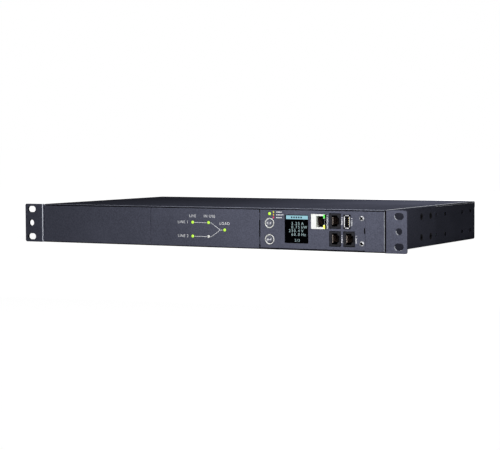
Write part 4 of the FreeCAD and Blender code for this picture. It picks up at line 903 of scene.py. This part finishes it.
class RACKUNIT_OT_light_display(bpy.types.Operator):
    """Glaze the display and light its bar and figures"""

    bl_idname = "rack_unit.light_display"
    bl_label = "Light Display"

    def execute(self, context):
        film = context.scene.rack_print.film
        rounded_copy("display_window", GLASS_EDGE, "display", "glass")
        left, right, floor, top = sides("display_window")
        # Black strip over the plate along the display's left side
        films("display_tape", [((left - 0.9, left + 0.3), (floor, top))], FACE, film, "glass", "display")
        films("display_bar", [((left + 0.7, right - 0.3), (top - 4.4, top - 0.5))], SCREEN, film,
              "screen_bar", "display")
        starts = [left + CELL_START + CELL_PITCH * i for i in range(BAR_CELLS)]
        cells = [((start, start + CELL_WIDTH), (top - 3.3, top - 1.6)) for start in starts]
        films("display_bar_cells", cells, SCREEN - film, film, "glass", "display")
        shape = bmesh.new()
        for i, row in enumerate(ROWS):
            z = top - ROW_START - ROW_PITCH * i
            for words, (x, align, spread) in zip(row, COLUMNS):
                figures(shape, words, ROW_SIZE, left + x, z, SCREEN, film, align, spread=spread)
        figures(shape, "2/3", PAGE_SIZE, left + PAGE_X, floor + PAGE_RISE, SCREEN, film, spread=1.3)
        lay("display_figures", shape, "screen_ink", "display")
        return {"FINISHED"}


# Each jack's moulding and how deep the light reaches into its mouth; further in, the mouth is painted
# dark as shade
JACKS = {"ethernet_jack": ("white_plastic", 6.3 * MM), "serial_jack": ("black_plastic", 0.8 * MM),
         "link_jack": ("black_plastic", 0.8 * MM), "sensor_jack": ("black_plastic", 0.8 * MM)}
# A moulding's rounding, walls, back, the skin that moves at a joint, and the joint
JACK_EDGE, WALL, BACK, SKIN, JOINT = 0.15 * MM, 1.2 * MM, 0.3 * MM, 0.2 * MM, 0.4 * MM
# Roundings of the bus socket's sleeve and of the contacts, and how deep the cuts go
SHELL_EDGE, WIRE_EDGE = 0.08 * MM, 0.04 * MM
LATCH_CUT, CORNER_CUT, CUT_SPARE = 9.0 * MM, 5.0 * MM, 1.0 * MM


def open_joint(verts, low, high, all_round):
    """Leaves a joint open along a jack's right side or all round it."""
    height, half = (low.z + high.z) / 2, (high.z - low.z) / 2
    for vert in verts:
        if vert.co.x > high.x - SKIN:
            vert.co.x -= JOINT
        elif all_round and vert.co.x < low.x + SKIN:
            vert.co.x += JOINT
        rise = vert.co.z - height
        if all_round and abs(rise) > half - SKIN:
            vert.co.z -= math.copysign(JOINT, rise)


def shade_jack_gap(film):
    """Black strip of painted shade along the white jack's right side, for the shadow where its opening
    is wider than the jack.
    """
    _, right, floor, top = sides("ethernet_jack")
    films("jack_tape", [((right - 0.4, right + 1.2), (floor, top))], FACE, film, "glass",
          "black_plastic")


def latch_room(low, high):
    """Tool that widens the Ethernet jack's mouth towards its two lamps."""
    middle, right = (low.z + high.z) / 2 / MM, high.x / MM
    upper = [(right - 4.4, 5.8), (right - 2.3, 5.8), (right - 2.3, 3.2), (right - 0.75, 3.2)]
    corners = upper + [(x, -z) for x, z in upper[::-1]]
    tool = bmesh.new()
    plate(tool, [(x, middle + z) for x, z in corners], low.y + LATCH_CUT, LATCH_CUT + CUT_SPARE)
    return to_mesh(tool, "latch room")


def roll_shell():
    """Serial bus socket's sleeve, drawn in at its mouth and rolled into a bright rim."""
    low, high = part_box("usb_shell")
    shell = rounded_copy("usb_shell", SHELL_EDGE, "bright_shell", "nickel", tool=corner_cuts(low, high))
    middle, half = (low + high) / 2, (high - low) / 2
    rim, outer_side = low.y + 1.0 * MM, 0.946
    for vert in shell.data.vertices:
        if vert.co.y < rim:
            out = vert.co - middle
            outer = max(abs(out.x) / half.x, abs(out.z) / half.z) > outer_side
            across, along = (0.885, 0.945) if outer else (0.77, 0.89)
            vert.co.x = middle.x + across * out.x
            vert.co.z = middle.z + along * out.z


def corner_cuts(low, high):
    """Tool that opens the sleeve's corners at its mouth."""
    tool = bmesh.new()
    leg, spare = 2.0, 0.5
    for x, inward in ((low.x / MM, 1), (high.x / MM, -1)):
        for z, rise in ((low.z / MM, 1), (high.z / MM, -1)):
            outer_x, outer_z = x - inward * spare, z - rise * spare
            corners = [(outer_x, outer_z), (x + inward * leg, outer_z), (outer_x, z + rise * leg)]
            plate(tool, corners, low.y + CORNER_CUT, CORNER_CUT + CUT_SPARE)
    return to_mesh(tool, "corner cuts")


def draw_forward(node, material, reach, bright):
    """Contacts drawn towards the mouth, in their own tone over the length nearest to it and painted dark
    as shade further in.
    """
    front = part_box(node)[0].y
    part = front + bright - reach
    wires = rounded_copy(node, WIRE_EDGE, "gold_contacts", material, "deep_bronze",
                         pick=lambda point, normal: point.y > part, split=part)
    for vert in wires.data.vertices:
        if vert.co.y < front + SKIN:
            vert.co.y -= reach
    return wires


def space_contacts(verts, boxes):
    """Narrow contacts, set closer together and a little higher."""
    heights = [(low.z + high.z) / 2 for low, high in boxes]
    middle = sum(heights) / len(heights)
    lift, pitch, width = 0.37 * MM, 0.858, 0.75
    for vert in verts:
        own = min(heights, key=lambda height: abs(height - vert.co.z))
        vert.co.z = middle + lift + pitch * (own - middle) + width * (vert.co.z - own)


class RACKUNIT_OT_finish_jacks(bpy.types.Operator):
    """Finish the modular jacks and the serial bus socket"""

    bl_idname = "rack_unit.finish_jacks"
    bl_label = "Finish Jacks"

    def execute(self, context):
        for node, (material, lit) in JACKS.items():
            low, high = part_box(node)

            # Faces deeper in the mouth than the light reaches are painted dark as shade
            def deep(point, normal, low=low, high=high, lit=lit):
                inner = all(low[i] + WALL < point[i] < high[i] - WALL for i in (0, 2))
                return inner and low.y + lit < point.y < high.y - BACK

            tool = latch_room(low, high) if node == "ethernet_jack" else None
            jack = rounded_copy(node, JACK_EDGE, material, material, "socket_dark", pick=deep,
                                split=low.y + lit, tool=tool)
            open_joint(jack.data.vertices, low, high, all_round=tool is None)
        roll_shell()
        # The bus socket's insulator is painted dark as shade
        assign("socket_dark", "usb_insulator")
        # The Ethernet jack's contacts are painted dark as shade all along
        assign("deep_bronze", "ethernet_contacts")
        shade_jack_gap(context.scene.rack_print.film)
        draw_forward("jack_contacts", "dull_bronze", reach=1.8 * MM, bright=2.3 * MM)
        contacts = draw_forward("usb_contacts", "gold", reach=0.9 * MM, bright=4.0 * MM)
        space_contacts(contacts.data.vertices, solids("usb_contacts"))
        assign("green_light", "link_light")
        assign("yellow_light", "activity_light")
        return {"FINISHED"}


# Millimetres: lines keep a gap round the lamps, bend after a short run and meet before the last
GAP, RUN, MEET = 2.4, 3.2, 5.3
ROW_WORDS, OVER_LAMP, USE_SHIFT = 5.5, 6.8, 1.2
# Tags of the colour key, and the dashes beside them
TAGS = ("yellow_ink", "orange_ink", "red_ink")
TAG_X, TAG_TOP, TAG_PITCH, TAG_HALF = 4.9, 39.9, 2.95, (0.55, 0.85)
DASH_X, DASH_PITCH, DASH, DASH_HALF = 3.2, 1.75, 1.3, 0.45
# Words beside the jacks: the white jack's stand further off
PORTS = ("ethernet_jack", "serial_jack", "usb_shell", "link_jack", "sensor_jack")
PORT_SIZE, PORT_BOLD, PORT_CLEAR, NETWORK_CLEAR = 2.2 * MM, 0.03 * MM, 1.8, 2.3


def print_status(ink):
    film, line, figure, gap = ink.film, ink.line / MM, ink.figure, GAP
    spots = [middle_of(low, high, FACE) / MM for node in ("lit_lenses", "unlit_lens")
             for low, high in solids(node)]
    columns = sorted({round(spot.x, 2) for spot in spots})
    rows = sorted({round(spot.z, 2) for spot in spots})
    drop = ink.line_drop / MM
    meet = (columns[2] - MEET, rows[1] - drop)
    shape = bmesh.new()
    for order, row in enumerate((rows[0] - drop, rows[2] - drop)):
        stroke(shape, [(columns[0] + gap, row), (columns[1] - gap, row)], line, FACE, film)
        slant = [(columns[1] + gap, row), (columns[1] + RUN, row), meet]
        stroke(shape, slant, line, FACE, lifted(film, order))
    stroke(shape, [meet, (columns[2] - gap, meet[1])], line, FACE, lifted(film, 2))
    for row, words in ((rows[2], "LINE 1"), (rows[0], "LINE 2")):
        figures(shape, words, figure, columns[0] - ROW_WORDS, row, FACE, film, "RIGHT")
    for x, z, words in ((columns[0], rows[2], "LIVE"), (columns[1] + USE_SHIFT, rows[2], "IN USE"),
                        (columns[2], rows[1], "LOAD")):
        figures(shape, words, figure, x, z + OVER_LAMP, FACE, film)
    lay("status_print", shape, "white_ink", "white_plastic")


def print_module(film):
    x = sum(sides("device_lens")[:2]) / 2 + TAG_X
    wide, tall = TAG_HALF
    shape = bmesh.new()
    for i, tone in enumerate(TAGS):
        z = TAG_TOP - TAG_PITCH * i
        tag = [((x - wide, x + wide), (z - tall, z + tall))]
        films("colour_key_%d" % (i + 1), tag, FACE, film, tone, "amber_lens")
        for dash in range(4 + i % 2):
            start = x + DASH_X + DASH_PITCH * dash
            block(shape, (start, start + DASH), (z - DASH_HALF, z + DASH_HALF), FACE, film)
    for number, node in enumerate(PORTS):
        _, right, floor, top = sides(node)
        words = "%s %d" % ("PORT" if number else "NETWORK", number + 1)
        clear = PORT_CLEAR if number else NETWORK_CLEAR
        figures(shape, words, PORT_SIZE, right + clear, (floor + top) / 2, FACE, film,
                turn=math.radians(90), bold=PORT_BOLD)
    lay("module_print", shape, "white_ink", "white_plastic")


class RACKUNIT_OT_print_marks(bpy.types.Operator):
    """Print the lines between the lamps, the figures and the colour key on the front plates"""

    bl_idname = "rack_unit.print_marks"
    bl_label = "Print Marks"

    def execute(self, context):
        ink = context.scene.rack_print
        print_status(ink)
        print_module(ink.film)
        return {"FINISHED"}


# Earth stud in millimetres: thread, and the shank and foot behind it as radius and height
THREAD_ROOT, THREAD_CREST, THREAD_PITCH, THREAD_TURNS = 2.1, 2.5, 0.8, 6
SHANK = ((2.1, -9), (2.5, -9), (2.5, -10.2), (5, -10.2))
# Roundings of the mouldings and the nut, and how deep the light reaches into a socket, past which it is
# painted dark as shade
MOULD_EDGE, NUT_EDGE, SOCKET_LIT = 0.25 * MM, 0.3 * MM, 3.0 * MM


class RACKUNIT_OT_finish_rear(bpy.types.Operator):
    """Finish the inlets, the outlets and the earth stud"""

    bl_idname = "rack_unit.finish_rear"
    bl_label = "Finish Rear"

    def execute(self, context):
        for node in ("inlet_1", "inlet_2", "outlet_bank_1", "outlet_bank_2"):
            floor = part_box(node)[1].y - SOCKET_LIT
            # Faces deeper in a socket than the light reaches are painted dark as shade
            rounded_copy(node, MOULD_EDGE, "black_plastic", "black_plastic", "socket_dark",
                         pick=lambda point, normal, floor=floor: point.y < floor)
        assign("bright_tin", "inlet_blades")
        rounded_copy("earth_nut", NUT_EDGE, "zinc_steel", "zinc")
        low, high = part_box("earth_stud")
        reach = (high.y - low.y) / MM
        profile = [(0, 0), (THREAD_ROOT, 0)]
        for i in range(THREAD_TURNS):
            profile += [(THREAD_CREST, -THREAD_PITCH * (i + 0.5)),
                        (THREAD_ROOT, -THREAD_PITCH * (i + 1))]
        stud = turned("stud", led_down([*profile, *SHANK], reach))
        places = [(middle_of(low, high, high.y), REAR)]
        set_along("earth_stud_thread", "earth_stud", stud, places, "zinc", "zinc_steel")
        return {"FINISHED"}


# Each lamp's place, the point that it is aimed at, its side in metres and its power in watts
LAMPS = (
    ("Key", (0.19, -0.55, 0.2), (0.12, -0.13, 0.02), 0.2, 2.65),
    ("Top", (0.19, 0.09, 0.24), (0.18, 0.09, 0.04), 0.05, 0.36),
    ("Left", (-1.6, 0.0, 0.08), (-0.2, 0.0, 0.03), 0.1, 12.0),
    ("Rear", (-0.2, 1.7, 0.08), (-0.1, 0.1, 0.03), 0.1, 30.0),
    ("Side", (0.42, -0.25, 0.12), (0.216, -0.08, 0.02), 0.05, 0.23),
)
SENSOR_WIDTH, CLIP_START = 36.0, 0.05
FLOOR_REACH, FLOOR_DROP = 20.0, 0.2 * MM
# The floor's own light near the unit, and the distances from and to which it rises to white
NEAR_LEVEL, NEAR, FAR = 0.95, 0.3, 0.8
WHITE = (1, 1, 1, 1)


def set_camera(scene, stage):
    lens = bpy.data.cameras.new("Camera")
    lens.lens = stage.lens
    lens.sensor_width = SENSOR_WIDTH
    lens.sensor_fit = "HORIZONTAL"
    lens.clip_start = CLIP_START
    camera = placed("Camera", lens)
    flat = math.cos(stage.dip)
    ahead = Vector((-math.sin(stage.heading) * flat, math.cos(stage.heading) * flat,
                    -math.sin(stage.dip)))
    level = Vector((math.cos(stage.heading), math.sin(stage.heading), 0))
    over = level.cross(ahead)
    right = level * math.cos(stage.roll) + over * math.sin(stage.roll)
    up = over * math.cos(stage.roll) - level * math.sin(stage.roll)
    turn = Matrix((right, up, -ahead)).transposed().to_4x4()
    camera.matrix_world = Matrix.Translation(stage.station) @ turn
    scene.camera = camera


def set_lights():
    for name, place, aim, size, power in LAMPS:
        light = bpy.data.lights.new(name, "AREA")
        light.size = size
        light.energy = power
        lamp = placed(name, light)
        lamp.location = place
        lamp.rotation_euler = (Vector(aim) - Vector(place)).to_track_quat("-Z", "Y").to_euler()
        lamp.visible_camera = False


def seen_share(tree):
    """Socket that is 1 on rays from the camera, a reflection or a clear body, and else 0."""
    path = put(tree, "ShaderNodeLightPath")
    seen = put(tree, "ShaderNodeMath", {0: path["Is Camera Ray"], 1: path["Is Glossy Ray"]},
               operation="MAXIMUM")[0]
    return put(tree, "ShaderNodeMath", {0: seen, 1: path["Is Transmission Ray"]}, operation="MAXIMUM")[0]


def set_floor(stage):
    shape = bmesh.new()
    bmesh.ops.create_grid(shape, x_segments=1, y_segments=1, size=FLOOR_REACH)
    bmesh.ops.translate(shape, verts=shape.verts, vec=(0, 0, -FLOOR_DROP))
    mesh = bpy.data.meshes.new("floor")
    shape.to_mesh(mesh)
    shape.free()
    placed("floor", mesh)
    # Studio paper: the light's own pale tone for the eye and for reflections, with the shadow
    # laid on it near the unit and plain white further off
    paper = bpy.data.materials.new("Studio paper")
    paper.use_nodes = True
    tree = paper.node_tree
    tree.nodes.clear()
    seen = seen_share(tree)
    place = put(tree, "ShaderNodeTexCoord")["Object"]
    away = put(tree, "ShaderNodeVectorMath", {0: place}, operation="LENGTH")["Value"]
    white = put(tree, "ShaderNodeMapRange",
                {"Value": away, "From Min": NEAR, "From Max": FAR, "To Min": NEAR_LEVEL})[0]
    level = put(tree, "ShaderNodeMath", {0: seen, 1: white}, operation="MULTIPLY")[0]
    lit = put(tree, "ShaderNodeEmission", {"Color": WHITE, "Strength": level})[0]
    dull = put(tree, "ShaderNodeBsdfDiffuse", {"Color": rgba(stage.floor)})[0]
    both = put(tree, "ShaderNodeAddShader", {0: lit, 1: dull})[0]
    put(tree, "ShaderNodeOutputMaterial", {"Surface": both})
    mesh.materials.append(paper)


def set_world(scene, stage):
    world = bpy.data.worlds.new("Studio")
    world.use_nodes = True
    tree = world.node_tree
    tree.nodes.clear()
    level = put(tree, "ShaderNodeMapRange",
                {"Value": seen_share(tree), "To Min": stage.ambient, "To Max": 1.0})[0]
    sky = put(tree, "ShaderNodeBackground", {"Color": WHITE, "Strength": level})[0]
    put(tree, "ShaderNodeOutputWorld", {"Surface": sky})
    scene.world = world


class RACKUNIT_OT_set_stage(bpy.types.Operator):
    """Set the camera, the lights and the floor"""

    bl_idname = "rack_unit.set_stage"
    bl_label = "Set Stage"

    def execute(self, context):
        scene = context.scene
        stage = scene.rack_stage
        set_camera(scene, stage)
        set_lights()
        set_floor(stage)
        set_world(scene, stage)
        scene.view_settings.view_transform = "Standard"
        return {"FINISHED"}


OPERATORS = (
    RACKUNIT_OT_coat_case, RACKUNIT_OT_finish_inside, RACKUNIT_OT_set_screws,
    RACKUNIT_OT_set_lamps, RACKUNIT_OT_fit_keys, RACKUNIT_OT_light_display,
    RACKUNIT_OT_finish_jacks, RACKUNIT_OT_print_marks, RACKUNIT_OT_finish_rear,
    RACKUNIT_OT_set_stage,
)
SETTINGS = {"rack_case": CaseSettings, "rack_lamps": LampSettings, "rack_print": PrintSettings,
            "rack_stage": StageSettings}


class RACKUNIT_PT_sidebar(bpy.types.Panel):
    """Sizes, colours and steps of the rack unit"""

    bl_idname = "RACKUNIT_PT_sidebar"
    bl_label = "Rack Unit"
    bl_space_type = "VIEW_3D"
    bl_region_type = "UI"
    bl_category = "Rack Unit"

    def draw(self, context):
        for name, group in SETTINGS.items():
            held = getattr(context.scene, name)
            box = self.layout.box()
            for prop in group.__annotations__:
                box.prop(held, prop)
        for operator in OPERATORS:
            self.layout.operator(operator.bl_idname)


def register():
    for group in (*SETTINGS.values(), *OPERATORS, RACKUNIT_PT_sidebar):
        bpy.utils.register_class(group)
    for name, group in SETTINGS.items():
        setattr(bpy.types.Scene, name, PointerProperty(type=group))


def unregister():
    for name in SETTINGS:
        delattr(bpy.types.Scene, name)
    for group in (RACKUNIT_PT_sidebar, *OPERATORS[::-1], *SETTINGS.values()):
        bpy.utils.unregister_class(group)


def main():
    kept = set(frame["nodes"].values()) | set(frame["bodies"].values())
    for stray in [o for o in bpy.data.objects if o not in kept]:
        bpy.data.objects.remove(stray)
    register()
    for operator in OPERATORS:
        group, name = operator.bl_idname.split(".")
        getattr(getattr(bpy.ops, group), name)()


if __name__ == "__main__":
    main()
